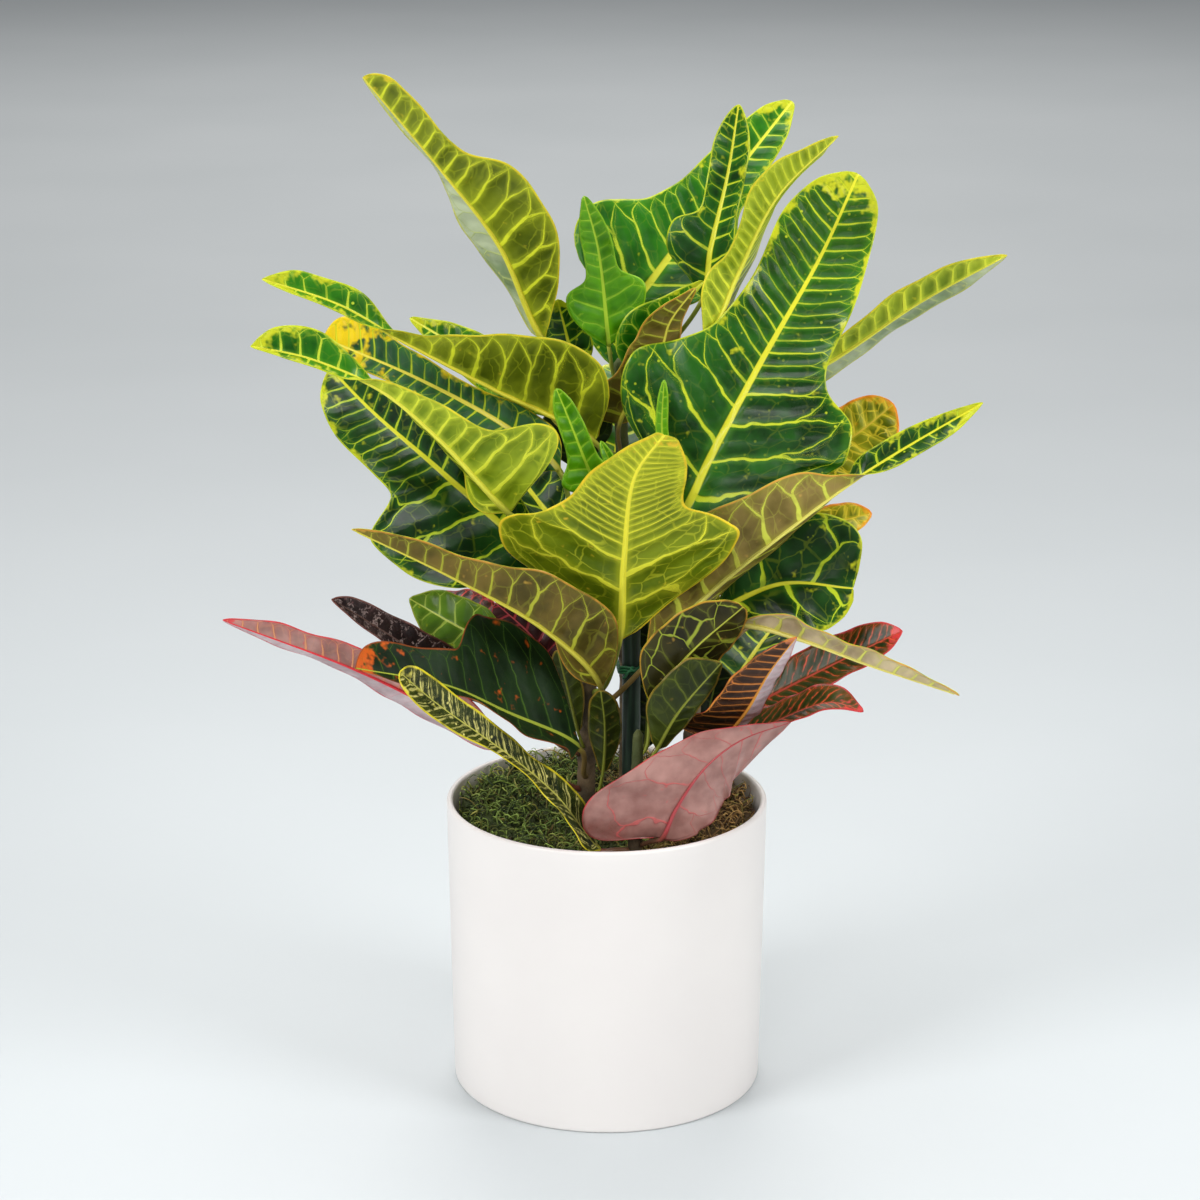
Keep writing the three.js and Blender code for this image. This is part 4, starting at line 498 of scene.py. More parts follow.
class Flow:
    """A number, colour or vector in a material's node tree, so that a formula reads as one."""

    def __init__(self, tree, socket):
        self.tree = tree
        self.socket = socket

    def math(self, operation, *others):
        return node(self.tree, "Math", dict(enumerate((self, *others))), operation=operation)

    def __add__(self, other):
        return self.math("ADD", other)

    def __sub__(self, other):
        return self.math("SUBTRACT", other)

    def __mul__(self, other):
        return self.math("MULTIPLY", other)

    def __truediv__(self, other):
        return self.math("DIVIDE", other)

    def __rsub__(self, other):
        return self.math("MULTIPLY", -1).math("ADD", other)

    __radd__ = __add__
    __rmul__ = __mul__

    def size(self):
        return self.math("ABSOLUTE")

    def most(self, other):
        return self.math("MAXIMUM", other)

    def least(self, other):
        return self.math("MINIMUM", other)

    def ramp(self, low, high, out_low=0.0, out_high=1.0):
        """A soft step from out_low to out_high as this goes from low to high."""
        inputs = dict(enumerate((self, low, high, out_low, out_high)))
        return node(self.tree, "MapRange", inputs, interpolation_type="SMOOTHSTEP")


def feed(tree, slot, value):
    if isinstance(value, Flow):
        tree.links.new(value.socket, slot)
    else:
        slot.default_value = value


def node(tree, kind, inputs, output=0, **settings):
    """A new shader node as a flow from one of its outputs. The inputs go by place or name."""
    made = tree.nodes.new(f"ShaderNode{kind}")
    for name, value in settings.items():
        setattr(made, name, value)
    for slot, value in inputs.items():
        feed(tree, made.inputs[slot], value)
    return Flow(tree, made.outputs[output])


def attribute(at, name):
    return node(at.tree, "Attribute", {}, "Fac", attribute_name=name)


def vector(x, y, z):
    return node(x.tree, "CombineXYZ", {0: x, 1: y, 2: z})


def noise(at, size, detail=3.0, roughness=0.5):
    """Noise about 0.5, with features of that size in metres, or in the units of at."""
    inputs = dict(Vector=at, Scale=1 / size, Detail=detail, Roughness=roughness)
    return node(at.tree, "TexNoise", inputs, "Fac")


def voronoi(at, size, output, feature="F1"):
    return node(at.tree, "TexVoronoi", dict(Vector=at, Scale=1 / size), output, feature=feature)


def chance(x, y):
    """A random number from 0 to 1 for each pair x, y."""
    return node(x.tree, "TexWhiteNoise", dict(Vector=vector(x, y, 0.0)), "Value", noise_dimensions="2D")


def mix(factor, a, b):
    """Colour a, with factor of colour b. A plain colour is a screen one."""
    a, b = (c if isinstance(c, Flow) else linear(c) for c in (a, b))
    return node(factor.tree, "Mix", dict(Factor=factor, A=a, B=b), "Result", data_type="RGBA")


def new_material(name, recipe, *details, **constants):
    """A material. The recipe gives its colour, roughness and bump height in millimetres at a place."""
    material = bpy.data.materials.new(name)
    material.use_nodes = True
    tree = material.node_tree
    shader = tree.nodes["Principled BSDF"]
    color, roughness, height = recipe(node(tree, "TexCoord", {}, "Object"), *details)
    feed(tree, shader.inputs["Base Color"], color)
    feed(tree, shader.inputs["Roughness"], roughness)
    feed(tree, shader.inputs["Normal"], node(tree, "Bump", dict(Strength=1.0, Distance=MM, Height=height)))
    for constant, value in constants.items():
        shader.inputs[constant.replace("_", " ")].default_value = value
    return material


def leaf_recipe(at, look):
    """One side of a leaf: veins, halo, net, margin, blotches and specks over its own green. Its places
    are the mesh's attributes, lengths in millimetres and share and side as parts of the whole."""
    names = ("share", "side", "across", "along", "edge", "phase", "pitch", "seed")
    share, side, across, along, edge, phase, pitch, seed = (attribute(at, name) for name in names)
    half = across.math("GREATER_THAN", 0.0) * 0.5
    out = side.size()
    away = across.size()
    wild = look["wild"]

    # Side veins stand at the whole numbers of the count. Near the margin each one forks: one branch
    # bends on to the next vein and a thinner one bends back, so that they meet in arches.
    wander = (noise(at, MM * (16 - 8 * wild), 2.0) - 0.5) * (0.5 + 0.6 * wild)
    count = phase + half + wander
    index = count.math("FLOOR")
    past = count - index
    luck = chance(index, seed + half)
    luck_next = chance(index + 1.0, seed + half)
    lobe = pitch.ramp(6.0, 16.0)
    forks = [look["fork"] + 0.2 * value - 0.12 * lobe + 0.1 * (1.0 - lobe) for value in (luck, luck_next)]
    reach, reach_next = [((out - fork) / (1.0 - fork)).most(0.0).least(1.0) for fork in forks]
    fore = (past - reach * reach * 0.85).size() * pitch * 0.93
    back = (1.0 - past - reach_next * 0.5).size() * pitch * 0.93
    base_width, width_gain = look["lateral"]
    width = (base_width + width_gain * pitch) * (1.3 - 0.8 * out)
    fore_width = width * (0.7 + 0.6 * luck) * (1.0 - 0.45 * reach)
    back_width = width * (0.7 + 0.6 * luck_next) * (1.0 - 0.65 * reach_next)
    fresh = noise(at, MM * (9 - 5 * wild), 2.0).ramp(0.3, 0.5 + 0.1 * wild, 0.6 - 0.6 * wild, 1.0)
    lines = [
        gap.ramp(own * 0.7, own * 1.05 + 0.08, 1.0, 0.0) * (1.0 - (1.0 - value) * 0.6 * (1.0 - lobe))
        for gap, own, value in ((fore, fore_width, luck), (back, back_width, luck_next))
    ]
    lateral = lines[0].most(lines[1]) * fresh * look["vein_strength"]
    lateral = lateral * away.ramp(0.0, 0.5) * out.ramp(0.9, 1.0, 1.0, 0.5)
    near = fore.least(back)
    halo = near.ramp(0.0, width * 3.2 + 0.7, 1.0, 0.0) * fresh

    # Midrib
    rib_width = look["rib"] * share.ramp(0.0, 1.0, 1.0, 0.34) * attribute(at, "size")
    # Where the petiole takes its darker colour: partly its own, partly painted shade
    stalk = share.ramp(-0.05, 0.08, 1.0, 0.0)
    rib = away.ramp(rib_width * 0.72, rib_width + 0.15, 1.0, 0.0)
    rib_halo = away.ramp(rib_width, rib_width * 3.0 + 0.5, 1.0, 0.0)

    # Net of fine veins, in cells between the side veins
    cell, net_strength = look["net"]
    warp = (noise(at, MM * (2 + 0.6 * cell), 2.0) - 0.5) * min(0.5 * cell, 5.0)
    flat = vector(across * 0.8 + warp, along + warp, seed * 50.0)
    crease = voronoi(flat, cell, "Distance", "DISTANCE_TO_EDGE")
    even = noise(at, 0.014).ramp(0.35, 0.6, look["net_even"], 1.0)
    net = crease.ramp(0.12 / cell, 0.4 / cell, 1.0, 0.0) * even
    near_edge = edge.ramp(0.8, 6.0, 1.0, 0.0)
    net = net * (net_strength + 0.45 * near_edge * look["edge_blotch"]).least(1.0)
    net = net * away.ramp(rib_width, rib_width + 3.0)

    # Blotches at the tip and along the margin, and specks
    start, strength = look["tip"]
    tip = share.ramp(start, 1.0, 0.0, 0.3) * strength
    border = edge.ramp(0.0, 5.0, 0.3, 0.0) * look["edge_blotch"] * share.ramp(0.15, 0.8, 0.5, 1.15)
    blotch = (noise(at, 0.006, 2.0, 0.55) + tip + border).ramp(0.65, 0.82)
    speck_size = 0.0042
    pick = voronoi(at, speck_size, "Color").math("LESS_THAN", 0.34 * look["specks"])
    speck = voronoi(at, speck_size, "Distance").ramp(0.1, 0.22, 1.0, 0.0) * pick
    speck = speck * edge.ramp(3.0, 18.0, 1.0, 0.2)
    margin = edge.ramp(look["margin_width"] * 0.6, look["margin_width"] * 1.5, 1.0, 0.0)
    margin = margin * noise(at, 0.012, 2.0).ramp(0.36, 0.5, 0.4, 1.0)

    tone = (noise(at, 0.03) * 0.75 + noise(at, 0.008) * 0.25).ramp(0.34, 0.66)
    glow = (halo * 0.85 + rib_halo * 0.6 + near_edge * 0.6).least(1.0) * look["glow"]
    glow = (glow + share.ramp(0.3, 0.95) * look["ripen"]).least(1.0)
    color = mix(glow, mix(tone, *look["blade"]), look["glow_color"])
    color = mix(blotch * 0.88, color, look["blotch"])
    for mark in (net, speck * 0.9, lateral):
        color = mix(mark, color, look["vein"])
    color = mix(rib, color, mix(stalk, look["rib_color"], look["stalk"]))
    color = mix(margin * 0.9, color, look["margin"])

    grain = noise(at, 0.0012, 3.0)
    gloss = look["roughness"] + 0.12 * (grain - 0.5) + 0.06 * (rib + lateral)
    side_sign = 1 if look["furrow"] < 0 else -1
    swell = near.ramp(0.0, pitch * 0.5) * pitch * (0.045 * look["puff"])
    bulge = swell * away.ramp(0.5, 4.0) * out.ramp(0.8, 1.0, 1.0, 0.2)
    buckle = noise(at, 0.01, 1.0) * 0.9
    relief = (lateral.most(rib * 0.6) + net * 0.3) * look["furrow"]
    return color, gloss + 0.08 * tone, (bulge + buckle) * side_sign + relief + 0.04 * grain


def smooth_step(t):
    s = np.clip(t, 0, 1)
    return s * s * (3 - 2 * s)


def smooth_value(pairs, t):
    """A smooth curve through (share, value) pairs that doesn't overshoot them."""
    x, y = (np.array(column, float) for column in zip(*pairs))
    steps = np.diff(x)
    slopes = np.diff(y) / steps
    before = 2 * steps[1:] + steps[:-1]
    after = steps[1:] + 2 * steps[:-1]
    turns = slopes[:-1] * slopes[1:] <= 0
    safe = np.where(turns, 1.0, slopes[:-1]), np.where(turns, 1.0, slopes[1:])
    inner = np.where(turns, 0.0, (before + after) / (before / safe[0] + after / safe[1]))
    tangents = np.concatenate(([slopes[0]], inner, [slopes[-1]]))
    t = np.clip(t, x[0], x[-1])
    i = np.clip(np.searchsorted(x, t, side="left") - 1, 0, len(steps) - 1)
    s = (t - x[i]) / steps[i]
    return (
        (1 + 2 * s) * (1 - s) ** 2 * y[i] + s * (1 - s) ** 2 * steps[i] * tangents[i]
        + s * s * (3 - 2 * s) * y[i + 1] + s * s * (s - 1) * steps[i] * tangents[i + 1]
    )


def unit(v):
    return v / np.maximum(np.linalg.norm(v, axis=-1, keepdims=True), 1e-9)


def circle(sides):
    return np.linspace(0, TURN, sides, endpoint=False)


def spline(points):
    """A centripetal Catmull-Rom curve, as SAMPLES points for each stretch."""
    p = np.array(points, float)
    p = np.vstack([2 * p[0] - p[1], p, 2 * p[-1] - p[-2]])
    gaps = np.maximum(np.sum(np.diff(p, axis=0) ** 2, axis=1) ** 0.25, 1e-4)
    s = np.linspace(0, 1, SAMPLES, endpoint=False)[:, None]
    stretches = []
    for i in range(1, len(p) - 2):
        d0, d1, d2 = gaps[i - 1:i + 2]
        t1 = ((p[i] - p[i - 1]) / d0 - (p[i + 1] - p[i - 1]) / (d0 + d1) + (p[i + 1] - p[i]) / d1) * d1
        t2 = ((p[i + 1] - p[i]) / d1 - (p[i + 2] - p[i]) / (d1 + d2) + (p[i + 2] - p[i + 1]) / d2) * d1
        c2 = -3 * p[i] + 3 * p[i + 1] - 2 * t1 - t2
        c3 = 2 * p[i] - 2 * p[i + 1] + t1 + t2
        stretches.append(p[i] + t1 * s + c2 * s ** 2 + c3 * s ** 3)
    return np.vstack([*stretches, p[-2:-1]])


class Path:
    """A curve that is read by the share of its length."""

    def __init__(self, points):
        self.points = spline(points)
        steps = np.linalg.norm(np.diff(self.points, axis=0), axis=1)
        self.lengths = np.concatenate(([0], np.cumsum(steps)))
        self.length = self.lengths[-1]

    def at(self, share):
        where = np.asarray(share) * self.length
        return np.stack([np.interp(where, self.lengths, c) for c in self.points.T], axis=-1)

    def along(self, share):
        step = 0.004
        return unit(self.at(np.minimum(share + step, 1)) - self.at(np.maximum(share - step, 0)))


def stem_at(stem, z):
    points = spline(stem["axis"])
    i = np.searchsorted(points[:, 2], z)
    foot, top = stem["axis"][0][2], stem["axis"][-1][2]
    return points[i], stem["foot"] + (stem["top"] - stem["foot"]) * (z - foot) / (top - foot)


def leaf_path(leaf):
    rib = leaf.rib
    point, radius = stem_at(leaf.stem, leaf.z)
    out = unit((rib[0] - point) * (1, 1, 0))
    start = point + out * (radius + GAP)
    across = np.linalg.norm((rib[0] - start)[:2])
    elbow = start + out * min(PETIOLE.reach, PETIOLE.share * across)
    elbow[2] += min(PETIOLE.rise, PETIOLE.share * (rib[0][2] - start[2]))
    path = Path([start, elbow, *rib])
    return path, out, path.lengths[2 * SAMPLES] / path.length


def leaf_frame(leaf, path, out, foot, share):
    """The centre line's place, direction, upper side and right side at each share of its length."""
    tangent = path.along(share)
    tangent[share <= 0] = out
    t = (share - foot) / (1 - foot)
    faces = unit(np.atleast_2d(np.array(leaf.face, float)))
    start, end = leaf.twist
    turned = smooth_step((t - start) / (end - start))[:, None]
    blade = faces[0] + (faces[-1] - faces[0]) * turned
    rise = smooth_step(share / foot)[:, None]
    up = np.where(t[:, None] < 0, np.array([0, 0, 1]) * (1 - rise) + faces[0] * rise, blade)
    up = unit(up - tangent * np.sum(up * tangent, axis=1, keepdims=True))
    return path.at(share), tangent, up, np.cross(tangent, up)


def grid_faces(rows, cols, first=0, flip=False):
    i = np.arange(rows - 1)[:, None] * cols + np.arange(cols - 1)[None, :] + first
    corners = [i, i + 1, i + cols + 1, i + cols]
    if flip:
        corners.reverse()
    return np.stack(corners, axis=-1).reshape(-1, 4)


def tube_faces(rings, sides):
    """The faces between rings of points that lie one after the other."""
    i = np.arange(rings - 1)[:, None] * sides
    k = np.arange(sides)[None, :]
    after = (k + 1) % sides
    return np.stack([i + k, i + k + sides, i + after + sides, i + after], axis=-1).reshape(-1, 4).tolist()


def new_mesh(name, points, faces, materials, slots=None, values=None):
    """A mesh object from points in millimetres, with its material slots and point attributes."""
    mesh = bpy.data.meshes.new(name)
    mesh.from_pydata((np.asarray(points) * MM).tolist(), [], [list(map(int, f)) for f in faces])
    for material in materials:
        mesh.materials.append(material)
    if slots is not None:
        mesh.polygons.foreach_set("material_index", np.asarray(slots, np.int32))
    for label, data in (values or {}).items():
        layer = mesh.attributes.new(label, "FLOAT", "POINT")
        layer.data.foreach_set("value", np.asarray(data, np.float32))
    mesh.shade_smooth()
    piece = bpy.data.objects.new(name, mesh)
    bpy.context.scene.collection.objects.link(piece)
    return piece


def dressed(piece, node_name):
    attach(piece, "root")
    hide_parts(node_name)
    return piece


def waist(leaf):
    """Where the blade narrows most above its lobes, as a share of its length."""
    shares = np.linspace(LOBES.start, LOBES.end, 200)
    slopes = [np.gradient(smooth_value(pairs, shares), shares) for pairs in leaf.widths.values()]
    steepest = min(slopes, key=lambda slope: slope.min())
    return shares[np.argmin(steepest)]


def vein_count(leaf, length, t):
    """How many side veins lie between the foot of the blade and t, and their spacing there."""
    low, high = leaf.spacing
    shares = np.linspace(0, 1, FINE)
    spacing = low + (high - low) * smooth_step((shares - waist(leaf)) / LOBES.fade + 0.5)
    count = np.concatenate(([0], np.cumsum(length / spacing[1:] * np.diff(shares))))
    return np.interp(t, shares, count), np.interp(t, shares, spacing)


def soft_widths(pairs, length, t):
    """The half widths at t, with the corners of the outline rounded."""
    shares = np.linspace(0, 1, FINE + 1)
    raw = smooth_value(pairs, shares)
    blur = ROUNDING / length
    reach = round(3 * blur * FINE)
    kernel = np.exp(-0.5 * (np.arange(-reach, reach + 1) / (blur * FINE)) ** 2)
    padded = np.concatenate([2 * raw[0] - raw[reach:0:-1], raw, 2 * raw[-1] - raw[-2:-reach - 2:-1]])
    return np.maximum(np.interp(t, shares, np.convolve(padded, kernel / kernel.sum(), "valid")), 0.5)


def blade_grid(leaf, frame_at, length, size, puff, seed):
    """The middle surface of a blade, as a grid of points, with what its material reads."""
    cols = {s: max(4, round(max(w for _, w in pairs) / CELL.across)) for s, pairs in leaf.widths.items()}
    q = np.concatenate([-np.linspace(1, 0, cols["left"] + 1)[:-1], np.linspace(0, 1, cols["right"] + 1)])
    t = np.linspace(0, 1, max(16, round(length / CELL.along)))
    centre, tangent, up, side = (v[:, None, :] for v in frame_at(t))
    tt, qq = np.meshgrid(t, q, indexing="ij")
    right, left = (soft_widths(leaf.widths[s], length, t)[:, None] for s in ("right", "left"))
    width = np.where(qq > 0, right, left)
    width = width * (NECK.width + (1 - NECK.width) * smooth_step(tt / NECK.end))
    width = width * np.sqrt(np.maximum(1 - (np.maximum(tt - TIP.start, 0) / TIP.run) ** 2, TIP.least))
    fold = np.radians(np.where(qq > 0, *leaf.fold)) * smooth_step(tt / FOLD_FULL)
    out = np.abs(qq)
    wave, waves = leaf.wave
    phase = TURN * waves * tt + np.where(qq > 0, 0, WAVE_SHIFT)
    ripple = wave * qq ** 2 * np.sin(phase) * np.sin(math.pi * tt)
    frill = FRILL.height * size * out ** 3 * np.sin(TURN * FRILL.waves * tt + seed + 2 * np.sign(qq))
    reach = out * width
    shift = VEIN_BEND * reach ** 2 + leaf.slant * reach
    count, pitch = vein_count(leaf, length, tt - shift / length)
    beat = count + np.where(qq > 0, 0.5, 0)
    pillow = np.minimum(PILLOW.most, PILLOW.rise * pitch) * np.sin(math.pi * beat) ** 2
    pillow = pillow * puff * (1 - out ** 6) * smooth_step(reach / PILLOW.near)
    height = width * np.sin(fold) * out ** CUP + ripple + frill * np.minimum(width / 12, 1) + pillow
    points = (
        centre + side * (np.sign(qq) * reach * np.cos(fold))[..., None]
        + up * height[..., None] + tangent * (leaf.lean * reach)[..., None]
    )
    values = dict(
        share=tt, side=qq, across=np.sign(qq) * reach, along=tt * length, edge=(1 - out) * width,
        phase=count, pitch=pitch, seed=np.full_like(tt, seed), size=np.full_like(tt, size),
    )
    return points, np.broadcast_to(up, points.shape), values


def surface_normals(points, up):
    normals = np.cross(np.gradient(points, axis=1), np.gradient(points, axis=0))
    weak = np.linalg.norm(normals, axis=-1, keepdims=True) < 1e-4
    normals = np.where(weak, up, normals)
    flip = np.sum(normals * up, axis=-1, keepdims=True) < 0
    return unit(np.where(flip, -normals, normals))


def ring_tube(centres, radii, side, up, sides):
    """A closed tube: its points, in a ring round each centre, and its faces."""
    angles = circle(sides)
    ring = side[:, None, :] * np.cos(angles)[None, :, None] + up[:, None, :] * np.sin(angles)[None, :, None]
    points = (centres[:, None, :] + ring * np.asarray(radii)[:, None, None]).reshape(-1, 3)
    last = (len(centres) - 1) * sides
    caps = [list(range(sides)), list(range(last + sides - 1, last - 1, -1))]
    return points, [*tube_faces(len(centres), sides), *caps]


def leaf_piece(name, leaf, materials):
    upper, under = leaf.looks
    seed = float(rng.uniform(0, 50))
    path, out, foot = leaf_path(leaf)
    length = path.length * (1 - foot)
    size = min(1.0, SHORT_LEAF.base + length / SHORT_LEAF.span)

    def frame_at(t):
        return leaf_frame(leaf, path, out, foot, foot + (1 - foot) * np.asarray(t, float))

    middle, up, values = blade_grid(leaf, frame_at, length, size, LOOKS[upper]["puff"], seed)
    rows, cols = middle.shape[:2]
    thin = np.abs(values["side"]) ** 3
    half = (THICK.middle + (THICK.margin - THICK.middle) * thin)[..., None] / 2
    offset = surface_normals(middle, up) * half
    points = [(middle + offset).reshape(-1, 3), (middle - offset).reshape(-1, 3)]
    under_first = rows * cols
    top = grid_faces(rows, cols)
    bottom = grid_faces(rows, cols, under_first, flip=True)
    left = np.arange(rows) * cols
    foot_row = np.arange(cols)
    tip_row = foot_row + (rows - 1) * cols
    strips = np.vstack([
        np.stack([rim[:-1], rim[1:], rim[1:] + under_first, rim[:-1] + under_first], axis=-1)
        for rim in (left, (left + cols - 1)[::-1], foot_row[::-1], tip_row)
    ])
    faces = [*top.tolist(), *bottom.tolist(), *strips.tolist()]
    # One half of some undersides takes a paler look: painted sheen, a reflection painted into the colour
    sheen_half, sheen_look = SHEEN_HALVES.get(name, (None, under))
    halves = values["side"][:-1, :-1].reshape(-1) >= 0
    if sheen_half == "left":
        halves = ~halves
    under_slots = np.where(halves & (sheen_half is not None), 2, 1).tolist()
    slots = [0] * len(top) + under_slots + [0] * len(strips)

    # The petiole, which runs on as the midrib
    share = np.linspace(0, PETIOLE.end, max(12, round(path.length / TUBE_STEP)))
    centres, _, tube_up, tube_side = leaf_frame(leaf, path, out, foot, share)
    t = (share - foot) / (1 - foot)
    radius = PETIOLE.radius * size
    taper = PETIOLE.thin + (1 - PETIOLE.thin) * (1 - np.clip(t, 0, 1)) ** PETIOLE.taper
    radii = np.where(t < 0, radius, radius * taper)
    radii[0] *= PETIOLE.swell
    centres = centres - tube_up * (radii * PETIOLE.sunk * smooth_step(t / 0.04 + 1))[:, None]
    tube, stalk_faces = ring_tube(centres, radii, tube_side, tube_up, TUBE_SIDES)
    faces += [[v + 2 * under_first for v in face] for face in stalk_faces]
    slots += [1] * len(stalk_faces)
    spread = np.repeat(np.clip(t, -0.2, 1), TUBE_SIDES)
    still = np.zeros(len(tube))
    own = dict(
        share=spread, side=still, across=still, along=spread * length, edge=still + 20, phase=still,
        pitch=still + 8, seed=still + seed, size=still + size,
    )
    values = {label: np.concatenate([*[v.reshape(-1)] * 2, own[label]]) for label, v in values.items()}
    dressing = [materials[upper], materials[under], materials[sheen_look]]
    piece = new_mesh(f"croton_{name}", np.vstack([*points, tube]), faces, dressing, slots, values)
    node_name = f"leaf_{name}"
    return dressed(piece, node_name)


def lathe(name, profile, sides, material):
    """A turned piece from (radius, height) pairs that start and end on the axis."""
    profile = np.array(profile, float)
    angles = circle(sides)
    body = profile[1:-1]
    rings = np.stack([
        body[:, None, 0] * np.cos(angles), body[:, None, 0] * np.sin(angles),
        np.repeat(body[:, 1:2], sides, axis=1),
    ], axis=-1)
    points = np.vstack([rings.reshape(-1, 3), [[0, 0, profile[0, 1]], [0, 0, profile[-1, 1]]]])
    faces = [[a, d, c, b] for a, b, c, d in tube_faces(len(body), sides)]
    foot, top = len(points) - 2, len(points) - 1
    last = (len(body) - 1) * sides
    faces += [[foot, (j + 1) % sides, j] for j in range(sides)]
    faces += [[top, last + j, last + (j + 1) % sides] for j in range(sides)]
    return new_mesh(name, points, faces, [material])


def arc(centre, radius, start, end, steps):
    angles = np.radians(np.linspace(start, end, steps))
    return [(centre[0] + radius * math.cos(a), centre[1] + radius * math.sin(a)) for a in angles]


def line(start, end, shares):
    return [(start[0] + (end[0] - start[0]) * s, start[1] + (end[1] - start[1]) * s) for s in shares]


def glaze_recipe(at):
    tone = noise(at, 0.06, 2.0)
    return mix(tone, (247, 242, 238), (240, 234, 231)), 0.36 + 0.08 * tone, 0.1 * noise(at, 0.05, 0.0)


def pot_piece():
    lip = POT_HEIGHT - LIP_RADIUS
    middle = RIM_RADIUS - LIP_RADIUS
    inner = BASE_RADIUS - WALL
    floor = POT_FLOOR + WALL
    profile = [
        (0, FOOT.rise), (BASE_RADIUS - FOOT.step, FOOT.rise),
        *arc((BASE_RADIUS - FOOT.corner, FOOT.rise), FOOT.rise, 180, 270, 5),
        *arc((BASE_RADIUS - FOOT.edge, FOOT.edge), FOOT.edge, -90, 0, 7),
        *line((BASE_RADIUS, FOOT.edge), (RIM_RADIUS, lip), np.linspace(0.03, 0.97, 24)),
        *arc((middle, lip), LIP_RADIUS, 0, 180, 13),
        *line((inner, floor), (middle - LIP_RADIUS, lip), np.linspace(0.97, 0.03, 16)),
        *arc((inner - WALL, floor), WALL, 0, -90, 6),
        (0, POT_FLOOR),
    ]
    glaze = new_material("white_glaze", glaze_recipe, Coat_Weight=0.12, Coat_Roughness=0.3)
    return dressed(lathe("cylinder_pot", profile, POT_SIDES, glaze), "pot")


def bark_recipe(at):
    tone = noise(at, 0.012, 4.0)
    fine = noise(at, 0.0016, 4.0, 0.7)
    color = mix(tone.ramp(0.35, 0.65), (74, 62, 44), (122, 102, 74))
    color = mix(fine.ramp(0.55, 0.75) * 0.6, color, (58, 44, 32))
    color = mix(attribute(at, "share").ramp(0.45, 1.0) * 0.75, color, (74, 92, 38))
    return color, 0.6 + 0.25 * fine, 0.5 * fine + 0.4 * tone


def stem_piece(name, stem, material):
    """A stem with the swollen scars of the leaves that it has dropped."""
    path = Path(stem["axis"])
    foot = path.at(0.0) - (0, 0, ROOT_DEPTH)
    steps = int(path.length / STEM_STEP)
    share = np.linspace(0, 1, steps)
    phase = share * path.length / SCAR.spacing
    swell = 1 + SCAR.rise * np.maximum(np.cos(TURN * phase), 0) ** SCAR.sharpness
    radii = (stem["foot"] + (stem["top"] - stem["foot"]) * share) * swell * 0.97
    up = np.tile([0.0, 1.0, 0.0], (steps + 2, 1))
    side = np.tile([1.0, 0.0, 0.0], (steps + 2, 1))
    centres = np.vstack([foot, path.at(share), path.at(1.0) + (0, 0, stem["top"] * STEM_ENDS.dome)])
    radii = np.concatenate([[stem["foot"] * STEM_ENDS.root], radii, [stem["top"] * STEM_ENDS.tip]])
    points, faces = ring_tube(centres, radii, up, side, STEM_SIDES)
    around = np.arange(len(points))[:, None] % STEM_SIDES * BARK_LUMPS.around
    lumps = 1 + BARK_LUMPS.height * np.sin(points[:, 2:3] * BARK_LUMPS.along + around)
    centre_of = np.repeat(centres, STEM_SIDES, axis=0)
    points = centre_of + (points - centre_of) * lumps
    along = np.repeat(np.concatenate([[0], share, [1]]), STEM_SIDES)
    piece = new_mesh(f"croton_stem_{name}", points, faces, [material], values=dict(share=along))
    return dressed(piece, f"stem_{name}")


def stake_recipe(at):
    stretched = node(at.tree, "Mapping", dict(Vector=at, Scale=(1, 1, 0.06)))
    stripes = noise(stretched, 0.0016, 3.0)
    color = mix(stripes.ramp(0.3, 0.7), (16, 34, 26), (34, 60, 42))
    color = mix(noise(at, 0.02, 2.0).ramp(0.5, 0.8) * 0.3, color, (60, 66, 44))
    return color, 0.35 + 0.25 * stripes, 0.25 * stripes


def stake_piece():
    radius, foot, top = STAKE.radius, STAKE.foot, STAKE.top
    heights = np.linspace(foot + radius, top - STAKE.edge, STAKE.steps)
    joints = foot + np.array(STAKE.joints)
    ring = np.exp(-((heights[:, None] - joints) / STAKE.joint_width) ** 2).sum(axis=1)
    wall = [(radius * (STAKE.wall + STAKE.joint_rise * r), h) for h, r in zip(heights, ring)]
    edge = arc((radius * STAKE.wall - STAKE.edge, top - STAKE.edge), STAKE.edge, 10, 90, 5)
    profile = [(0, foot), (STAKE.point, foot + STAKE.point), *wall, *edge, (0, top)]
    piece = lathe("plant_stake", profile, STAKE.sides, new_material("green_stake", stake_recipe))
    piece.data.transform(Matrix.Translation((STAKE.x * MM, STAKE.y * MM, 0)))
    return dressed(piece, "stake")


def tube_along(points, radii, sides):
    """A tube whose rings turn with the route, without twisting."""
    tangent = unit(np.gradient(points, axis=0))
    up = np.empty_like(tangent)
    guess = np.array([0.3, 0.2, 0.93])
    for i, t in enumerate(tangent):
        guess = guess - t * guess.dot(t)
        guess = guess / np.linalg.norm(guess)
        up[i] = guess
    return ring_tube(points, radii, np.cross(tangent, up), up, sides)


def joined(name, tubes, material, values=None):
    points, faces, first = [], [], 0
    for own, own_faces in tubes:
        points.append(own)
        faces += [[v + first for v in face] for face in own_faces]
        first += len(own)
    return new_mesh(name, np.vstack(points), faces, [material], values=values)


def tie_recipe(at):
    tone = noise(at, 0.004, 3.0)
    color = mix(tone.ramp(0.3, 0.7), (12, 74, 40), (30, 112, 62))
    return color, 0.35 + 0.25 * tone, 0.2 * noise(at, 0.001, 2.0)


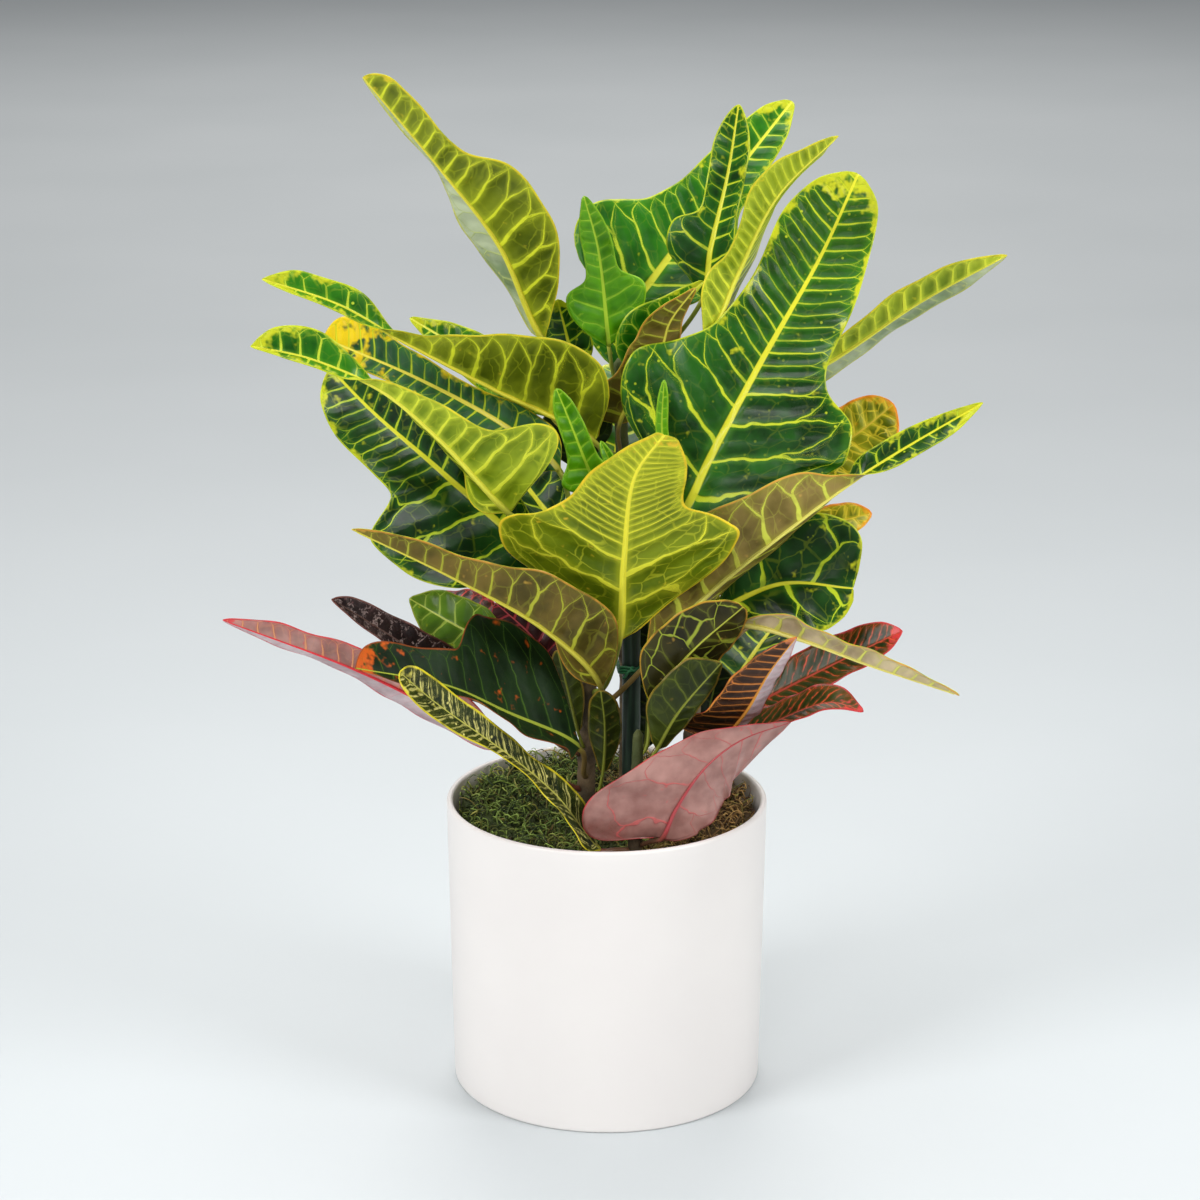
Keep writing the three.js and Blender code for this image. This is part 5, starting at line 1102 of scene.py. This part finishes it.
def tie_piece():
    """A wire tie: three turns round the stake and the tall stem, and two twisted ends in front."""
    stem, stem_radius = stem_at(STEMS["tall"], TIE.z)
    stake = np.array([STAKE.x, STAKE.y, TIE.z], float)
    along = stem * (1, 1, 0) - stake * (1, 1, 0)
    reach = np.linalg.norm(along)
    along = along / reach
    across = np.array([-along[1], along[0], 0])
    radius = max(STAKE.radius, stem_radius) + TIE.play + TIE.wire
    points = []
    for step in range(TIE.turns * TIE.steps + 1):
        angle = TURN * step / TIE.steps
        push = reach if math.cos(angle) > 0 else 0
        lift = TIE.lift * TIE.wire * (step / TIE.steps - TIE.turns / 2)
        edge = along * (push + radius * math.cos(angle)) + across * radius * math.sin(angle)
        points.append(stake + edge + (0, 0, lift + TIE.sway * math.sin(3 * angle)))
    tubes = [tube_along(np.array(points), np.full(len(points), TIE.wire), TIE.sides)]
    knot = stake - along * (radius + 0.4)
    for sign in (-1, 1):
        s = np.linspace(0, 1, TIE.end_steps)
        swirl = TIE.swirl * (1 - s * 0.3)
        turn = TIE.swirl_turns * s
        end = np.stack([
            knot[0] - along[0] * TIE.end_length * s + sign * swirl * np.cos(turn)
            + sign * TIE.end_spread * s ** 3,
            knot[1] - along[1] * TIE.end_length * s * (1 - 0.4 * s),
            knot[2] + sign * swirl * np.sin(turn) + TIE.end_rise * s ** 2 * sign + 1,
        ], axis=-1)
        tubes.append(tube_along(end, np.full(TIE.end_steps, TIE.wire), TIE.sides))
    return dressed(joined("wire_tie", tubes, new_material("green_tie", tie_recipe)), "tie")


def soil_recipe(at):
    tone = noise(at, 0.008, 4.0)
    color = mix(tone.ramp(0.35, 0.65), (30, 22, 17), (62, 47, 35))
    return color, 0.85 + 0.1 * tone, 1.5 * voronoi(at, 0.003, "Distance") + tone


def moss_recipe(at):
    """Green on the left and dry golden brown on the right, each strand with its own shade."""
    dry, tip, shade = (attribute(at, name) for name in ("dry", "tip", "shade"))
    green = mix(shade, (30, 56, 16), (176, 206, 92))
    brown = mix(shade, (78, 44, 17), (244, 192, 114))
    # Each strand darkens towards its root, and the bed under the strands is darker still: painted shade in
    # the mat
    color = mix((1.0 - tip) * 0.72, mix(dry, green, brown), (26, 24, 10))
    patch = noise(at, 0.004, 3.0).ramp(0.4, 0.7)
    return mix(patch * 0.3, color, (58, 66, 20)), 0.7 + 0.2 * patch, 0.3 * noise(at, 0.0008, 2.0)


def moss_height(x, y):
    waves = np.sin(x * CLUMPS.along_x + CLUMPS.shift) * np.cos(y * CLUMPS.along_y)
    clump = (waves + np.sin((x + y) * CLUMPS.across)) / 2
    coarse = 0.9 * np.sin(0.9 * x + 1.7 * y) * np.sin(1.1 * y - 0.6 * x)
    fine = coarse + 0.5 * np.sin(2.3 * x + 0.4) * np.sin(1.9 * y)
    back = np.clip((y - MOSS_BANK.start) / (MOSS_BANK.end - MOSS_BANK.start), 0, 1)
    side = MOSS_BANK.side_rise * smooth_step((np.abs(x) - MOSS_BANK.side_start) / MOSS_BANK.side_run)
    return MOSS_TOP + MOSS_BANK.rise * back + MOSS_RELIEF * clump + fine + side


def dryness(x, y):
    patch = 0.35 * np.sin(0.11 * x + 0.8) * np.sin(0.13 * y + 2.2) + 0.2 * np.sin(0.31 * x - 0.27 * y)
    return np.clip(0.5 + (x - DRY.middle) / DRY.span + patch, 0, 1)


def moss_bed():
    """The mat below the strands: its points, and its faces round a top and a floor."""
    sides = MOSS_SIDES
    r = np.linspace(0, MOSS_RADIUS, MOSS_RINGS + 1)[1:]
    a = circle(sides)
    x, y = r[:, None] * np.cos(a), r[:, None] * np.sin(a)
    bottom = SOIL_TOP + GAP
    top = np.stack([x, y, moss_height(x, y) - BED_DROP], axis=-1).reshape(-1, 3)
    floor = np.stack([x[-1], y[-1], np.full(sides, bottom)], axis=-1)
    caps = [[0, 0, moss_height(0, 0) - BED_DROP], [0, 0, bottom]]
    k = np.arange(sides)
    after = (k + 1) % sides
    rim, low, centre = (MOSS_RINGS - 1) * sides, MOSS_RINGS * sides, (MOSS_RINGS + 1) * sides
    faces = tube_faces(MOSS_RINGS, sides)
    faces += np.stack([rim + k, low + k, low + after, rim + after], axis=-1).tolist()
    faces += [[centre, int(j), int((j + 1) % sides)] for j in k]
    faces += [[centre + 1, int(low + (j + 1) % sides), int(low + j)] for j in k]
    return np.vstack([top, floor, caps]), faces


def moss_piece():
    """A mat of moss with curled strands all over it, one body for the bed and one for each strand."""
    bed, faces = moss_bed()
    tubes = [(bed, faces)]
    dry = [dryness(bed[:, 0], bed[:, 1])]
    tip = [np.zeros(len(bed))]
    shade = [np.full(len(bed), 0.3)]
    s = np.linspace(0, 1, STRAND.points)
    for _ in range(STRANDS):
        radius = MOSS_RADIUS * math.sqrt(rng.uniform(0, 1)) * STRAND.spread
        turn = rng.uniform(0, TURN)
        x, y = radius * math.cos(turn), radius * math.sin(turn)
        length = rng.uniform(*STRAND.length)
        heading = rng.uniform(0, TURN)
        rise = rng.uniform(*STRAND.rise)
        bend = heading + rng.uniform(*STRAND.curl) * s
        run = np.cumsum(np.stack([np.cos(bend), np.sin(bend)], axis=-1), axis=0) * length / STRAND.points
        arch = length * STRAND.arch * rise * np.sin(s * STRAND.arch_turn)
        route = np.stack([
            x + run[:, 0], y + run[:, 1],
            moss_height(x, y) - BED_DROP + arch + rng.uniform(*STRAND.jitter, STRAND.points),
        ], axis=-1)
        out = np.hypot(route[:, 0], route[:, 1])
        route[:, :2] *= np.minimum(1, (MOSS_RADIUS + STRAND.overhang) / np.maximum(out, 1))[:, None]
        thick = rng.uniform(*STRAND.thick) * (1 - STRAND.taper * s)
        tubes.append(tube_along(route, thick, STRAND.sides))
        count = STRAND.points * STRAND.sides
        dry.append(np.full(count, np.clip(dryness(x, y) + rng.normal(0, STRAND.mottle), 0, 1)))
        tip.append(np.repeat(np.clip(0.25 + 0.9 * s, 0, 1), STRAND.sides))
        shade.append(np.full(count, rng.uniform(0, 1) ** 1.3))
    values = dict(dry=np.concatenate(dry), tip=np.concatenate(tip), shade=np.concatenate(shade))
    return dressed(joined("moss_mat", tubes, new_material("sheet_moss", moss_recipe), values), "moss")


def floor_recipe(at):
    cloud = noise(at, 0.4, 3.0)
    return mix(cloud, (204, 210, 212), (211, 216, 218)), 0.42 + 0.1 * cloud, 0.1 * noise(at, 0.01, 2.0)


def floor_piece():
    mesh = bpy.data.meshes.new("floor")
    mesh.from_pydata(FLOOR_CORNERS, [], [(0, 1, 2, 3)])
    mesh.materials.append(new_material("pale_floor", floor_recipe))
    floor = bpy.data.objects.new("floor", mesh)
    bpy.context.scene.collection.objects.link(floor)


# The studio, in metres. A lamp has a place, a target, a size, its power in watts and a colour.
MIDDLE = (0, 0, 0.28)
LAMPS = {
    "key_left": ((-1.3, -1.0, 1.2), MIDDLE, (0.7, 1.0), 21, (1, 1, 1)),
    "key_right": ((1.35, -0.8, 1.1), MIDDLE, (0.7, 1.0), 17, (1, 1, 1)),
    "overhead": ((0, 0.25, 1.7), MIDDLE, (1.2, 1.2), 15, (1, 1, 1)),
    "front": ((-0.4, -2.0, 1.1), MIDDLE, (0.6, 0.4), 6, (1, 1, 1)),
    "floor_glow": ((0, 3.2, 2.6), (0, 2.4, 0), (2.4, 2.4), 56, (1, 0.975, 0.955)),
}
FLOOR_CORNERS = [(-8, -6, 0), (8, -6, 0), (8, 12, 0), (-8, 12, 0)]
SKY = SimpleNamespace(color=(0.94, 0.97, 1, 1), strength=0.2)
CAMERA = SimpleNamespace(place=(-0.00336, -1.5, 0.6968), tilt=73.41, lens=95.6, sensor=36)


def area_light(name, place, target, size, power, color):
    light = bpy.data.lights.new(name, "AREA")
    light.shape = "RECTANGLE"
    light.size, light.size_y = size
    light.energy = power
    light.color = color
    lamp = bpy.data.objects.new(name, light)
    lamp.location = place
    lamp.rotation_euler = (Vector(target) - Vector(place)).to_track_quat("-Z", "Y").to_euler()
    bpy.context.scene.collection.objects.link(lamp)


def studio():
    world = bpy.data.worlds.new("studio")
    world.use_nodes = True
    background = world.node_tree.nodes["Background"]
    background.inputs["Color"].default_value = SKY.color
    background.inputs["Strength"].default_value = SKY.strength
    bpy.context.scene.world = world
    bpy.context.scene.view_settings.view_transform = "Standard"
    for name, lamp in LAMPS.items():
        area_light(name, *lamp)


def camera():
    """The photograph's camera, found from the ellipses of the pot."""
    data = bpy.data.cameras.new("camera")
    data.lens = CAMERA.lens
    data.sensor_width = CAMERA.sensor
    eye = bpy.data.objects.new("camera", data)
    eye.location = CAMERA.place
    eye.rotation_euler = (math.radians(CAMERA.tilt), 0, 0)
    bpy.context.scene.collection.objects.link(eye)
    bpy.context.scene.camera = eye


camera()
studio()
floor_piece()
pot_piece()
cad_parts["soil"].material_slots[0].material = new_material("potting_soil", soil_recipe)
moss_piece()
bark = new_material("bark", bark_recipe)
for stem_name, stem in STEMS.items():
    stem_piece(stem_name, stem, bark)
stake_piece()
tie_piece()
leaf_materials = {
    kind: new_material(
        f"leaf_{kind}", leaf_recipe, look,
        Coat_Weight=look["coat"], Coat_Roughness=0.16, Specular_IOR_Level=0.16,
    )
    for kind, look in LOOKS.items()
}
for leaf_name, leaf_shape in LEAVES.items():
    leaf_piece(leaf_name, leaf_shape, leaf_materials)
